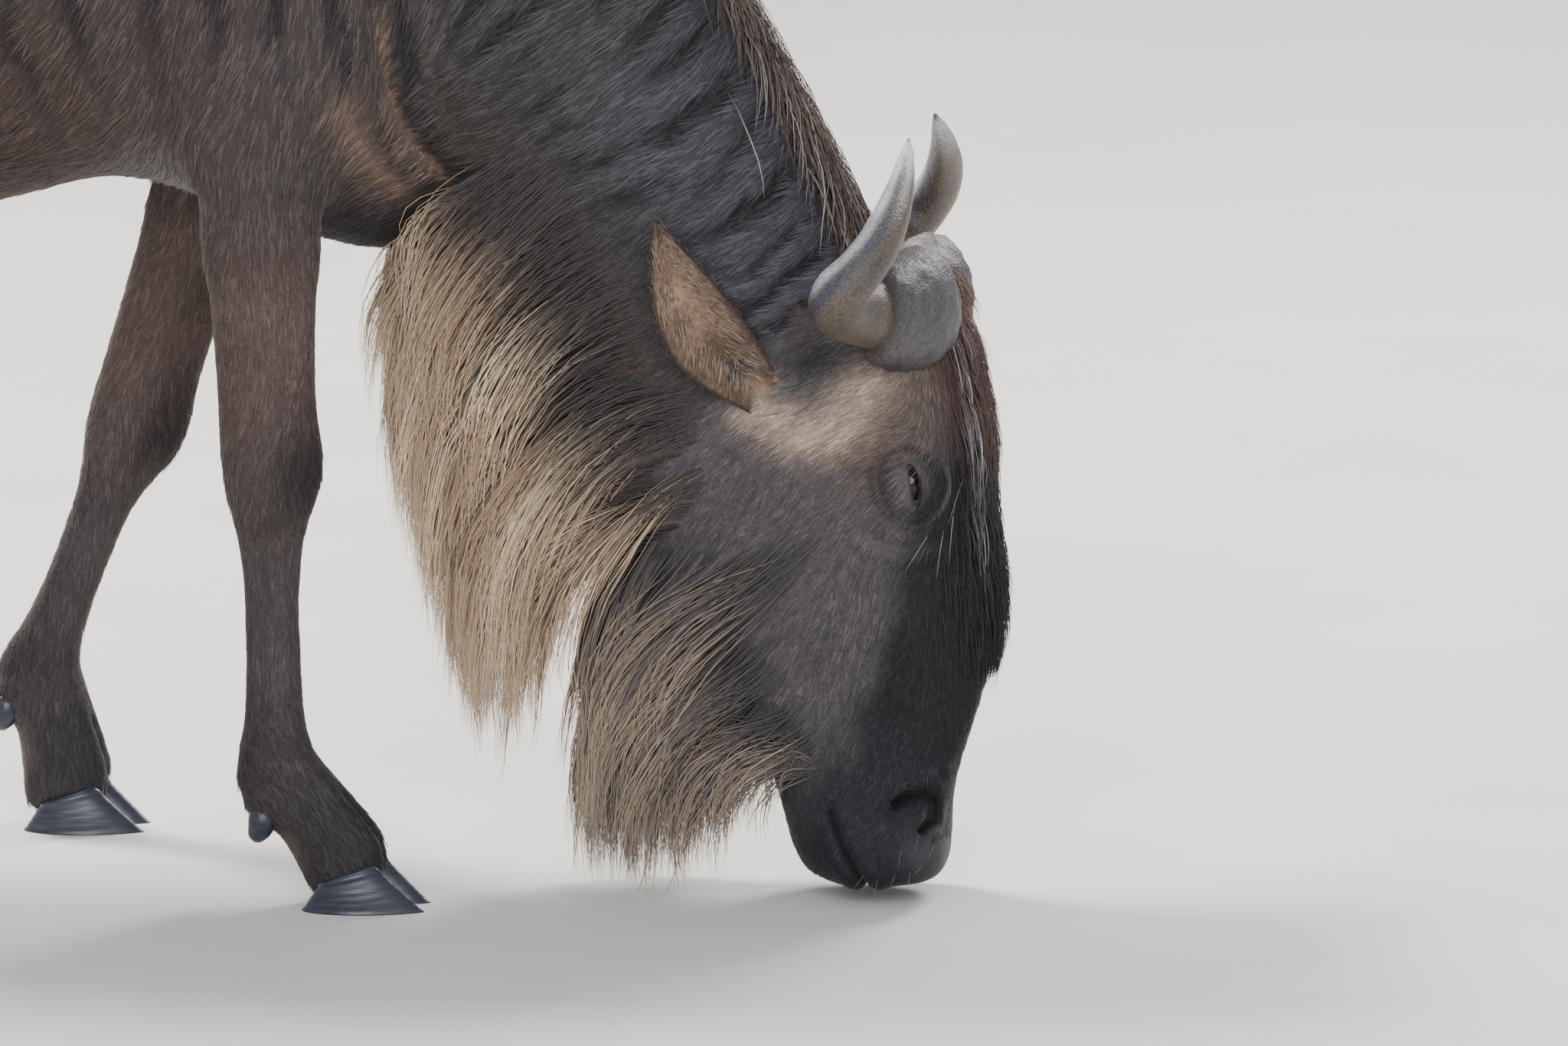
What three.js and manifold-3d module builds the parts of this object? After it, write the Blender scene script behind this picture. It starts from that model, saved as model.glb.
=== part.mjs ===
// A blue wildebeest, life size, standing with one foreleg forward and grazing.
// Millimetres, +X towards the head, +Y the animal's left, +Z up, soles on z = 0.
import * as THREE from 'three';
import { mergeVertices } from 'three/addons/utils/BufferGeometryUtils.js';
import Module from 'manifold-3d';

const wasm = await Module();
wasm.setup();

// Clearance between neighbouring pieces
const GAP = 0.3;
const FAR = 4000;

// Facets of each kind of piece
const TRUNK_SIDES = 26;
const NECK_SIDES = 22;
const HEAD_SIDES = 22;
const LEG_SIDES = 10;
const CLAW_SIDES = 10;
const DEWCLAW_SIDES = 6;
const HORN_SIDES = 10;
const TAIL_SIDES = 10;
const EYE_SIDES = 9;

// Trunk: back [x, z], belly [x, z], half width, place of the widest point, roundness of back and belly
const TRUNK = [
  [-1082, 985, -1080, 925, 40, 0.5, 2, 2],
  [-1066, 1070, -1060, 820, 92, 0.5, 2, 2],
  [-1010, 1122, -1000, 715, 142, 0.5, 2, 2],
  [-910, 1150, -900, 655, 168, 0.48, 2, 2],
  [-800, 1162, -790, 640, 180, 0.46, 2, 2],
  [-690, 1166, -690, 650, 192, 0.45, 2, 2.1],
  [-560, 1172, -560, 632, 212, 0.44, 1.95, 2.2],
  [-420, 1186, -420, 612, 222, 0.43, 1.9, 2.2],
  [-280, 1212, -280, 622, 218, 0.43, 1.8, 2.2],
  [-150, 1250, -150, 650, 204, 0.42, 1.7, 2.1],
  [-50, 1283, -40, 622, 186, 0.42, 1.6, 2],
  [45, 1272, 55, 590, 166, 0.42, 1.6, 1.9],
  [125, 1200, 118, 592, 140, 0.42, 1.7, 1.8],
  [185, 1090, 165, 635, 108, 0.45, 1.8, 1.9],
  [215, 960, 200, 740, 56, 0.5, 2, 2],
];

// Neck: crest [x, z], throat [x, z], then as the trunk
const NECK = [
  [-60, 1278, -90, 860, 105, 0.5, 1.5, 2],
  [50, 1252, -20, 740, 124, 0.48, 1.5, 2],
  [170, 1158, 40, 672, 128, 0.46, 1.5, 2],
  [290, 1030, 92, 642, 122, 0.45, 1.6, 2],
  [385, 898, 124, 628, 114, 0.45, 1.7, 1.9],
  [450, 782, 155, 608, 106, 0.46, 1.7, 1.8],
  [497, 692, 200, 528, 99, 0.48, 1.8, 1.8],
  [530, 622, 245, 441, 88, 0.5, 1.9, 1.8],
  [552, 560, 290, 354, 80, 0.5, 2, 1.9],
  [560, 500, 330, 292, 72, 0.5, 2, 2],
];

// Head: nose line [x, z], jaw line [x, z], then as the trunk
const HEAD = [
  [596, 590, 505, 612, 44, 0.5, 2, 2],
  [620, 548, 446, 580, 70, 0.52, 2, 2],
  [632, 505, 396, 528, 84, 0.56, 2.3, 2],
  [641, 462, 360, 470, 96, 0.64, 2.5, 1.8],
  [645, 425, 340, 415, 100, 0.7, 2.5, 1.8],
  [647, 390, 328, 362, 95, 0.7, 2.3, 1.8],
  [652, 350, 324, 312, 84, 0.62, 2.1, 1.9],
  [658, 310, 340, 268, 77, 0.52, 2, 2],
  [660, 268, 374, 224, 70, 0.46, 2, 2.1],
  [656, 226, 408, 182, 61, 0.44, 2, 2.2],
  [646, 184, 434, 144, 54, 0.46, 2.1, 2.2],
  [633, 142, 452, 108, 53, 0.5, 2.3, 2.2],
  [623, 104, 463, 74, 59, 0.54, 2.5, 2.3],
  [620, 68, 472, 46, 65, 0.58, 2.7, 2.4],
  [619, 38, 486, 24, 63, 0.6, 2.7, 2.4],
  [608, 17, 508, 12, 50, 0.6, 2.4, 2.2],
];
const HEAD_PIVOT = [500, 0, 480];
const HEAD_ROLL_DEG = -3.7;
const HEAD_YAW_DEG = -0.8;

// Planes seen edge-on from the side, each a point [x, z] and a direction [x, z]:
// where neck and trunk, chest and throat hair, head and neck, and the two beards part
const NECK_BASE = { at: [20, 1270], along: [140, -630] };
const CHEST_EDGE = { at: [152, 612], along: [60, 40] };
const NECK_END = { at: [500, 640], along: [-229, -328] };
const BEARD_EDGE = { at: [299, 300], along: [-49, -150] };

// Legs: joint centres [x, y, z] from the shoulder or hip to the coronet, for the right side (y < 0)
const LEGS = {
  foreleg_right: {
    side: -1,
    profile: 'fore',
    joints: [[-12, 122, 1010], [-4, 126, 690], [4, 126, 400], [8, 130, 128], [74, 132, 40]],
  },
  foreleg_left: {
    side: 1,
    profile: 'fore',
    joints: [[-30, 122, 1010], [-66, 126, 690], [-168, 128, 380], [-258, 132, 152], [-232, 134, 44]],
  },
  hindleg_right: {
    side: -1,
    profile: 'hind',
    joints: [[-915, 84, 990], [-868, 112, 740], [-1010, 104, 492], [-992, 112, 138], [-936, 116, 42]],
  },
  hindleg_left: {
    side: 1,
    profile: 'hind',
    joints: [[-905, 84, 990], [-838, 112, 740], [-938, 104, 490], [-890, 112, 138], [-832, 116, 42]],
  },
};

// Leg thickness: place along the joints, depth in front, depth behind, half width
const LEG_PROFILE = {
  fore: [
    [0, 60, 74, 22],
    [0.4, 104, 106, 44],
    [0.75, 92, 92, 49],
    [1, 68, 65, 46],
    [1.22, 57, 59, 41],
    [1.46, 49, 51, 36],
    [1.7, 46, 48, 33],
    [1.9, 48, 47, 36],
    [2.02, 48, 46, 37],
    [2.12, 40, 39, 32],
    [2.24, 30, 31, 26],
    [2.4, 27, 28, 22],
    [2.65, 27, 27, 21],
    [2.85, 30, 30, 23],
    [3, 40, 40, 30],
    [3.3, 38, 36, 29],
    [3.65, 38, 35, 29],
    [4, 40, 38, 31],
    [4.2, 30, 34, 27],
  ],
  hind: [
    [0, 120, 96, 40],
    [0.5, 138, 130, 62],
    [0.85, 104, 148, 64],
    [1, 84, 122, 60],
    [1.3, 66, 84, 48],
    [1.6, 48, 56, 36],
    [1.85, 42, 47, 31],
    [2, 43, 56, 32],
    [2.1, 40, 44, 31],
    [2.25, 31, 34, 26],
    [2.45, 27, 29, 23],
    [2.75, 27, 29, 23],
    [2.88, 31, 32, 25],
    [3, 40, 40, 30],
    [3.3, 37, 35, 29],
    [3.65, 37, 35, 29],
    [4, 40, 38, 31],
    [4.2, 30, 34, 27],
  ],
};
const LEG_ROOT_Z = { fore: 664, hind: 650 };

// Claws: length behind and before the coronet centre, height, half width, spacing from the leg's middle.
// Dewclaws: their place along the leg's joints, and how far their middle stands out behind it.
const CLAW = {
  behind: 38,
  ahead: 70,
  height: 44,
  halfWidth: 19,
  offset: 23,
  lean: 18,
  slope: 0.62,
  narrowing: 0.22,
  heelDrop: 0.35,
  levels: [0, 0.3, 0.65, 1],
};
const DEWCLAW = { place: 3.3, proud: 5, offset: 19, halfWidth: 10, halfDepth: 11, height: 34 };

// Horn centre line [x, y, z] from the middle of the boss outwards, then its two radii
const HORN_PARTING = 2;
const HORN = [
  [584, -8, 552, 30, 44],
  [587, 24, 550, 33, 49],
  [586, 46, 549, 34, 50],
  [572, 80, 551, 28, 42],
  [553, 114, 556, 25, 31],
  [540, 148, 562, 24, 27],
  [534, 180, 572, 24, 25],
  [540, 201, 588, 24, 24],
  [558, 205, 608, 22, 22],
  [573, 192, 630, 20, 20],
  [582, 168, 654, 17, 17],
  [586, 132, 679, 12, 12],
  [586, 102, 699, 7, 7],
  [585, 82, 713, 1.5, 1.5],
];

// Ears: root and tip, width, depth of the cup and thickness
const EAR = {
  root: [456, 74, 466],
  tip: [366, 150, 640],
  facing: [0.25, 0.97, 0],
  width: 74,
  bow: -17,
  cup: 24,
  thickness: 5,
  outline: [0.5, 0.72, 0.9, 1, 0.98, 0.84, 0.6, 0.32, 0.04],
  across: 7,
};

// Eyes: centre, radius of the ball, of the orbit round it, and the slit between the lids
const EYE = { centre: [591, 84, 398], radius: 19, orbit: [50, 22, 46], slit: [17, 30, 6.5], lidDrop: 8 };
const NOSTRIL = { centre: [609, 47, 84], radii: [13, 12, 17], lean: 24 };

// Mouth line: from the lips up to its corner, in the side view
const MOUTH = { from: [556, 0], to: [513, 88], opening: 3, depth: 7, lip: 10, lipRise: 2.5 };

// Tail: centre line [x, z] of the dock and its radii
const DOCK = [
  [-1010, 1080, 30, 30],
  [-1070, 1062, 28, 30],
  [-1108, 1010, 22, 24],
  [-1124, 930, 17, 18],
  [-1130, 840, 14, 15],
  [-1131, 760, 11, 12],
  [-1130, 700, 5, 6],
];

// Locks of long hair, tapered from root to tip. Locks of one row lie side by side, and each further
// row round the body lies over the last. A bed gives the places of its roots along and round the body,
// where its tips hang [x, z] from the first root to the last, and how the hair sets out and falls.
const SEED = 11;
const LOCK_TAPER = [0.8, 1, 1, 0.94, 0.7, 0.08];
const LOCK_SINK = 14;
const FRINGE = {
  along: [4.55, 8.8],
  count: 8,
  round: [0, 0.42, 0.84],
  tips: [[88, 496], [96, 412], [108, 336], [128, 256], [150, 178], [164, 132], [190, 146], [208, 126]],
  lies: [[-0.5, -0.86], [-0.86, -0.5]],
  start: [70, 112],
  fall: 84,
  gather: 0.4,
  thickness: 10,
  widest: 34,
};
const BEARD = {
  along: [5.3, 10.9],
  count: 7,
  round: [0, 0.55, 1.1],
  tips: [[274, 110], [280, 34], [288, 14], [312, 11], [348, 18], [388, 44], [430, 72]],
  lies: [[-0.66, -0.75], [-0.78, -0.62]],
  start: [70, 72],
  fall: 86,
  gather: 0.5,
  thickness: 9,
  widest: 30,
};
const MANE = {
  along: [1, 7.5],
  count: 13,
  length: 150,
  rise: 20,
  lean: 0.3,
  turn: 0.12,
  halfWidth: 22,
  thickness: 8,
};
const BRUSH = {
  along: [1.7, 8.2],
  count: 7,
  length: 86,
  rise: 13,
  lean: 0,
  turn: 0.2,
  halfWidth: 15,
  thickness: 6,
};
const TUFT = {
  rings: [[4.6, 15, 9], [3.7, 25, 14], [2.8, 35, 20]],
  around: 5,
  length: 330,
  thickness: 9,
  lowest: 405,
};

const COLOURS = {
  coat: 0x4b413a,
  legs: 0x43372f,
  face: 0x2e2a2b,
  ear: 0x8a735c,
  horn: 0x77787a,
  hoof: 0x23262b,
  eye: 0x120d0a,
  tail: 0x1d1a1a,
};

// The curve through a table's rows at place t
function rowAt(rows, t) {
  const last = rows.length - 1;
  const i = Math.min(Math.max(Math.floor(t), 0), last - 1);
  const f = t - i;
  const before = rows[Math.max(i - 1, 0)];
  const after = rows[Math.min(i + 2, last)];
  return rows[i].map((p1, k) => {
    const p2 = rows[i + 1][k];
    const m1 = (p2 - before[k]) / 2;
    const m2 = (after[k] - p1) / 2;
    const a = 2 * (p1 - p2) + m1 + m2;
    const b = 3 * (p2 - p1) - 2 * m1 - m2;
    return ((a * f + b) * f + m1) * f + p1;
  });
}

function rounded(value, power) {
  return Math.sign(value) * Math.abs(value) ** (2 / power);
}

// A ring through a front and a rear point of the side view, widest between them
function bodyRing(row, sides, grow = 0, middle = 0) {
  const front = new THREE.Vector2(row[0], row[1]);
  const rear = new THREE.Vector2(row[2], row[3]);
  const axis = front.clone().sub(rear).normalize();
  front.addScaledVector(axis, grow);
  rear.addScaledVector(axis, -grow);
  const widest = rear.clone().lerp(front, row[5] ?? 0.5);
  const points = [];
  for (let k = 0; k < sides; k += 1) {
    const angle = (2 * Math.PI * k) / sides;
    const c = Math.cos(angle);
    const power = c >= 0 ? (row[6] ?? 2) : (row[7] ?? 2);
    const end = c >= 0 ? front : rear;
    const place = widest.clone().lerp(end, Math.abs(rounded(c, power)));
    const across = (row[4] + grow) * rounded(Math.sin(angle), power);
    points.push(new THREE.Vector3(place.x, middle + across, place.y));
  }
  return points;
}

// One closed skin over rings of equal length, closed by a point at each end
function skin(rings) {
  const sides = rings[0].length;
  const points = rings.flat();
  const first = points.length;
  for (const ring of [rings[0], rings[rings.length - 1]]) {
    const centre = new THREE.Vector3();
    ring.forEach((p) => centre.addScaledVector(p, 1 / sides));
    points.push(centre);
  }
  const index = [];
  for (let i = 0; i + 1 < rings.length; i += 1) {
    for (let k = 0; k < sides; k += 1) {
      const a = i * sides + k;
      const b = i * sides + ((k + 1) % sides);
      index.push(a, b, a + sides, b, b + sides, a + sides);
    }
  }
  const top = (rings.length - 1) * sides;
  for (let k = 0; k < sides; k += 1) {
    const next = (k + 1) % sides;
    index.push(first, next, k);
    index.push(first + 1, top + k, top + next);
  }
  return outward(points, index);
}

function outward(points, index) {
  let volume = 0;
  for (let i = 0; i < index.length; i += 3) {
    const [a, b, c] = [points[index[i]], points[index[i + 1]], points[index[i + 2]]];
    volume += a.dot(b.clone().cross(c));
  }
  if (volume < 0) index.reverse();
  const geometry = new THREE.BufferGeometry();
  const position = points.flatMap((p) => [p.x, p.y, p.z]);
  geometry.setAttribute('position', new THREE.Float32BufferAttribute(position, 3));
  geometry.setIndex(index);
  return geometry;
}

function solid(geometry) {
  const bare = geometry.clone();
  bare.deleteAttribute('normal');
  bare.deleteAttribute('uv');
  const merged = mergeVertices(bare, 1e-4);
  const vertProperties = new Float32Array(merged.attributes.position.array);
  const triVerts = new Uint32Array(merged.index.array);
  return new wasm.Manifold(new wasm.Mesh({ numProp: 3, vertProperties, triVerts }));
}

function join(solids) {
  return solids.reduce((sum, piece) => sum.add(piece));
}

function largest(piece) {
  const bodies = piece.decompose();
  return bodies.reduce((best, body) => (body.volume() > best.volume() ? body : best));
}

function body(rows, sides, grow = 0) {
  return solid(skin(rows.map((row) => bodyRing(row, sides, grow))));
}

function ellipsoid(centre, radii, sides, turn = new THREE.Matrix4()) {
  const ball = new THREE.SphereGeometry(1, sides, Math.round(sides * 0.6));
  ball.applyMatrix4(new THREE.Matrix4().makeScale(...radii));
  ball.applyMatrix4(turn);
  ball.translate(...centre);
  return solid(ball);
}

// Everything on one side of a plane seen edge-on from the side, moved off it by a distance
function halfSpace(plane, side, shift) {
  const along = new THREE.Vector2(...plane.along).normalize();
  const normal = new THREE.Vector2(-along.y, along.x).multiplyScalar(side);
  const block = new THREE.BoxGeometry(FAR, FAR, FAR);
  const centre = new THREE.Vector2(...plane.at).addScaledVector(normal, FAR / 2 + shift);
  block.rotateY(-Math.atan2(normal.y, normal.x));
  block.translate(centre.x, 0, centre.y);
  return solid(block);
}

function torsoRegion(shift) {
  return halfSpace(NECK_BASE, -1, shift).intersect(halfSpace(CHEST_EDGE, 1, shift));
}

function headRegion(shift) {
  return halfSpace(NECK_END, 1, shift).intersect(halfSpace(BEARD_EDGE, 1, shift));
}

function slab(low, high) {
  const block = new THREE.BoxGeometry(FAR, FAR, high - low);
  block.translate(0, 0, (low + high) / 2);
  return solid(block);
}

const headTurn = new THREE.Matrix4()
  .makeTranslation(...HEAD_PIVOT)
  .multiply(new THREE.Matrix4().makeRotationX(THREE.MathUtils.degToRad(HEAD_ROLL_DEG)))
  .multiply(new THREE.Matrix4().makeRotationZ(THREE.MathUtils.degToRad(HEAD_YAW_DEG)))
  .multiply(new THREE.Matrix4().makeTranslation(...HEAD_PIVOT.map((v) => -v)));

function onHead(piece) {
  return piece.transform(headTurn.elements);
}

// Legs
function legPath(leg) {
  const joints = leg.joints.map(([x, y, z]) => [x, y * leg.side, z]);
  const last = joints.length - 1;
  return [...joints, joints[last].map((v, k) => v + (v - joints[last - 1][k]))];
}

// The middle of a leg at place t along its joints, the way forward across it, and its depths there
function legSection(leg, t) {
  const path = legPath(leg);
  const i = Math.floor(t);
  const centre = path[i].map((v, k) => v + (path[i + 1][k] - v) * (t - i));
  const down = legDirection(path, t);
  const profile = LEG_PROFILE[leg.profile];
  const next = Math.max(profile.findIndex((row) => row[0] >= t), 1);
  const [from, to] = [profile[next - 1], profile[next]];
  const share = (t - from[0]) / (to[0] - from[0]);
  const [, ahead, behind, halfWidth] = from.map((v, k) => v + (to[k] - v) * share);
  return { centre, forward: new THREE.Vector2(-down.y, down.x), ahead, behind, halfWidth };
}

function legRings(leg, grow) {
  return LEG_PROFILE[leg.profile].map(([t]) => {
    const { centre, forward, ahead, behind, halfWidth } = legSection(leg, t);
    const row = [
      centre[0] + forward.x * ahead,
      centre[2] + forward.y * ahead,
      centre[0] - forward.x * behind,
      centre[2] - forward.y * behind,
      halfWidth,
      behind / (ahead + behind),
    ];
    return bodyRing(row, LEG_SIDES, grow, centre[1]);
  });
}

// Direction of a leg at place t, turning evenly within a quarter of a segment of each joint
function legDirection(path, t) {
  const near = Math.round(t);
  const blend = THREE.MathUtils.clamp((t - near) / 0.5 + 0.5, 0, 1);
  const before = segment(path, Math.max(near - 1, 0));
  const after = segment(path, Math.min(near, path.length - 2));
  return before.lerp(after, near === 0 ? 1 : blend).normalize();
}

function segment(path, i) {
  const [from, to] = [path[i], path[i + 1]];
  return new THREE.Vector2(to[0] - from[0], to[2] - from[2]).normalize();
}

function legSolid(leg, grow = 0) {
  return solid(skin(legRings(leg, grow)));
}

function claw(leg, inner, grow = 0) {
  const [x, y] = leg.joints[4];
  const middle = leg.side * (y + (inner ? -CLAW.offset : CLAW.offset));
  const rings = CLAW.levels.map((level) => {
    const z = level * CLAW.height + (level === 1 ? grow : 0);
    const front = x + CLAW.ahead * (1 - level * CLAW.slope);
    const rear = x - CLAW.behind + level * CLAW.lean;
    const halfWidth = CLAW.halfWidth * (1 - CLAW.narrowing * level * level);
    const row = [front, z, rear, z - level * CLAW.height * CLAW.heelDrop, halfWidth, 0.34, 1.55, 2.4];
    return bodyRing(row, CLAW_SIDES, grow, middle);
  });
  if (grow > 0) rings.unshift(rings[0].map((p) => new THREE.Vector3(p.x, p.y, -grow)));
  return solid(skin(rings));
}

function dewclaw(leg, inner, grow = 0) {
  const { centre, forward, behind } = legSection(leg, DEWCLAW.place);
  const middle = centre[1] + leg.side * (inner ? -DEWCLAW.offset : DEWCLAW.offset);
  const rear = new THREE.Vector2(centre[0], centre[2]).addScaledVector(forward, -behind - DEWCLAW.proud);
  const rows = [[0, 0.55], [0.35, 1], [0.75, 0.85], [1, 0.3]].map(([level, size]) => {
    const z = rear.y + DEWCLAW.height * (0.5 - level);
    const depth = DEWCLAW.halfDepth * size;
    const x = rear.x - 3 * level;
    return [x + depth, z + depth * 0.3, x - depth, z - depth * 0.3, DEWCLAW.halfWidth * size];
  });
  return solid(skin(rows.map((row) => bodyRing(row, DEWCLAW_SIDES, grow, middle))));
}

// Horns: rings square to the centre line, carried along it without twist
function hornSolid(side, grow = 0) {
  const centres = HORN.map(([x, y, z]) => new THREE.Vector3(x, y * side, z));
  let across = new THREE.Vector3(1, 0, 0);
  const rings = HORN.map(([, , , depth, height], i) => {
    const from = centres[Math.max(i - 1, 0)];
    const to = centres[Math.min(i + 1, HORN.length - 1)];
    const tangent = to.clone().sub(from).normalize();
    across = across.clone().addScaledVector(tangent, -across.dot(tangent)).normalize();
    const up = tangent.clone().cross(across);
    return Array.from({ length: HORN_SIDES }, (_, k) => {
      const angle = (2 * Math.PI * k) / HORN_SIDES;
      const point = centres[i].clone().addScaledVector(across, (depth + grow) * Math.cos(angle));
      return point.addScaledVector(up, (height + grow) * Math.sin(angle));
    });
  });
  const block = new THREE.BoxGeometry(FAR, FAR, FAR);
  block.translate(0, side * (FAR / 2 + HORN_PARTING - grow), 0);
  return solid(skin(rings)).intersect(solid(block));
}

// Ears: a leaf rolled into a cup, closed by its own thickness
function earSolid(side) {
  const root = new THREE.Vector3(...EAR.root).multiply(new THREE.Vector3(1, side, 1));
  const tip = new THREE.Vector3(...EAR.tip).multiply(new THREE.Vector3(1, side, 1));
  const axis = tip.clone().sub(root);
  const length = axis.length();
  axis.normalize();
  const facing = new THREE.Vector3(...EAR.facing).multiply(new THREE.Vector3(1, side, 1));
  facing.addScaledVector(axis, -facing.dot(axis)).normalize();
  const across = axis.clone().cross(facing).multiplyScalar(-side);
  const rings = [];
  for (let i = 0; i < EAR.outline.length; i += 1) {
    const t = i / (EAR.outline.length - 1);
    const halfWidth = (EAR.width / 2) * EAR.outline[i];
    const cup = EAR.cup * (1 - 0.8 * t);
    const thickness = EAR.thickness * (1.5 - t);
    const spine = root.clone().addScaledVector(axis, length * t);
    spine.addScaledVector(across, EAR.bow * Math.sin(Math.PI * t));
    const ring = [];
    for (let k = 0; k < EAR.across; k += 1) {
      const u = -1 + (2 * k) / (EAR.across - 1);
      const fall = (1 - u * u) * cup;
      ring.push(spine.clone().addScaledVector(across, u * halfWidth).addScaledVector(facing, -fall));
    }
    for (let k = EAR.across - 2; k > 0; k -= 1) {
      const u = -1 + (2 * k) / (EAR.across - 1);
      const fall = (1 - u * u) * (cup + thickness) + thickness * 0.5;
      const back = spine.clone().addScaledVector(across, u * (halfWidth + 1));
      ring.push(back.addScaledVector(facing, -fall));
    }
    rings.push(ring);
  }
  return solid(skin(rings));
}

// Face: orbits, lids, nostrils, the line of the mouth and the lips
function mirrored(point, side) {
  return [point[0], point[1] * side, point[2]];
}

function orbits() {
  return [-1, 1].map((side) => ellipsoid(mirrored(EYE.centre, side), EYE.orbit, EYE_SIDES));
}

function eyeball(side, grow = 0) {
  return ellipsoid(mirrored(EYE.centre, side), Array(3).fill(EYE.radius + grow), EYE_SIDES);
}

function lidSlit(side) {
  const [x, y, z] = EYE.centre;
  const centre = [x, (y + EYE.radius) * side, z - EYE.lidDrop];
  const turn = new THREE.Matrix4().makeRotationY(THREE.MathUtils.degToRad(-12));
  return ellipsoid(centre, EYE.slit, EYE_SIDES, turn);
}

function nostril(side) {
  const turn = new THREE.Matrix4().makeRotationY(THREE.MathUtils.degToRad(NOSTRIL.lean));
  return ellipsoid(mirrored(NOSTRIL.centre, side), NOSTRIL.radii, 10, turn);
}

function mouthPlate(thickness) {
  const from = new THREE.Vector2(...MOUTH.from);
  const to = new THREE.Vector2(...MOUTH.to);
  const reach = to.clone().sub(from);
  const plate = new THREE.BoxGeometry(thickness, FAR, reach.length() + 40);
  plate.translate(0, 0, reach.length() / 2 - 20);
  plate.rotateY(Math.atan2(reach.x, reach.y));
  plate.translate(from.x, 0, from.y);
  return solid(plate);
}

function headSolid(grow = 0) {
  return join([body(HEAD, HEAD_SIDES, grow), ...orbits()]);
}

function faceDetail(head) {
  const lips = body(HEAD, HEAD_SIDES, MOUTH.lipRise).intersect(mouthPlate(MOUTH.lip * 2));
  const groove = mouthPlate(MOUTH.opening).subtract(body(HEAD, HEAD_SIDES, -MOUTH.depth));
  let face = head.add(lips).subtract(groove);
  for (const side of [-1, 1]) {
    face = face.subtract(eyeball(side, GAP)).subtract(lidSlit(side)).subtract(nostril(side));
  }
  return face;
}

// Hair
function randomFrom(seed) {
  let state = seed;
  return () => {
    state = (state + 0x6d2b79f5) | 0;
    let t = Math.imul(state ^ (state >>> 15), 1 | state);
    t = (t + Math.imul(t ^ (t >>> 7), 61 | t)) ^ t;
    return ((t ^ (t >>> 14)) >>> 0) / 4294967296;
  };
}

const random = randomFrom(SEED);

function vary(amount) {
  return 1 + amount * (2 * random() - 1);
}

// One flat lock along a curve: its half width at each step, ridged on the side that faces outwards
function lock(curve, outward, halfWidths, thickness) {
  const steps = LOCK_TAPER.length - 1;
  const rings = LOCK_TAPER.map((taper, i) => {
    const centre = curve.getPoint(i / steps);
    const tangent = curve.getTangent(i / steps);
    const normal = outward.clone().addScaledVector(tangent, -outward.dot(tangent)).normalize();
    const across = tangent.clone().cross(normal).multiplyScalar(halfWidths[i] * taper);
    return [
      centre.clone().add(across),
      centre.clone().addScaledVector(normal, thickness * Math.min(taper, 1)),
      centre.clone().sub(across),
    ];
  });
  return solid(skin(rings));
}

// A point on a lofted body, at a place along it and an angle round it from its front line
function surfacePoint(rows, place, angle) {
  const row = rowAt(rows, place);
  const front = new THREE.Vector2(row[0], row[1]);
  const rear = new THREE.Vector2(row[2], row[3]);
  const c = Math.cos(angle);
  const end = c >= 0 ? front : rear;
  const power = c >= 0 ? row[6] : row[7];
  const at = rear.clone().lerp(front, row[5]).lerp(end, Math.abs(rounded(c, power)));
  return new THREE.Vector3(at.x, row[4] * rounded(Math.sin(angle), power), at.y);
}

function surfaceNormal(rows, place, angle) {
  const step = 0.02;
  const along = surfacePoint(rows, place + step, angle).sub(surfacePoint(rows, place - step, angle));
  const round = surfacePoint(rows, place, angle + step).sub(surfacePoint(rows, place, angle - step));
  const normal = along.cross(round).normalize();
  const inside = surfacePoint(rows, place, 0).add(surfacePoint(rows, place, Math.PI)).multiplyScalar(0.5);
  return normal.dot(surfacePoint(rows, place, angle).sub(inside)) < 0 ? normal.negate() : normal;
}

// The centre lines of one row of hanging hair
function hangingCurves(rows, bed, angle, level) {
  const curves = [];
  for (let k = 0; k < bed.count; k += 1) {
    const u = (k + 0.5 * (level % 2)) / (bed.count - 0.5);
    const place = bed.along[0] + (bed.along[1] - bed.along[0]) * u;
    const point = surfacePoint(rows, place, angle);
    const normal = surfaceNormal(rows, place, angle);
    const tip = rowAt(bed.tips, u * (bed.tips.length - 1));
    const end = new THREE.Vector3(tip[0], point.y * bed.gather, tip[1] + (12 + 14 * level) * random());
    const [x, z] = rowAt(bed.lies, u);
    const lie = new THREE.Vector3(x, 0, z).addScaledVector(normal, 0.2).normalize();
    const root = point.clone().addScaledVector(normal, -LOCK_SINK);
    const second = point.clone().addScaledVector(lie, THREE.MathUtils.lerp(...bed.start, u));
    const third = end.clone().add(new THREE.Vector3(-4, 0, bed.fall));
    curves.push(new THREE.CubicBezierCurve3(root, second, third, end));
  }
  return curves;
}

// Hair that hangs from the underside of a body: each lock as wide as the way to its neighbours
function hangingBed(rows, bed) {
  const locks = [];
  bed.round.forEach((turn, level) => {
    for (const side of turn === 0 ? [1] : [-1, 1]) {
      const curves = hangingCurves(rows, bed, Math.PI + side * turn, level);
      curves.forEach((curve, k) => {
        const neighbours = [curves[k - 1], curves[k + 1]].filter(Boolean);
        const halfWidths = LOCK_TAPER.map((_, i) => {
          const t = i / (LOCK_TAPER.length - 1);
          const ways = neighbours.map((other) => other.getPoint(t).distanceTo(curve.getPoint(t)));
          return Math.min(Math.max(0.47 * Math.min(...ways), 7), bed.widest);
        });
        const outward = new THREE.Vector3(-0.15, turn === 0 ? 1 : side, 0);
        locks.push(lock(curve, outward, halfWidths, bed.thickness));
      });
    }
  });
  return join(locks);
}

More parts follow.
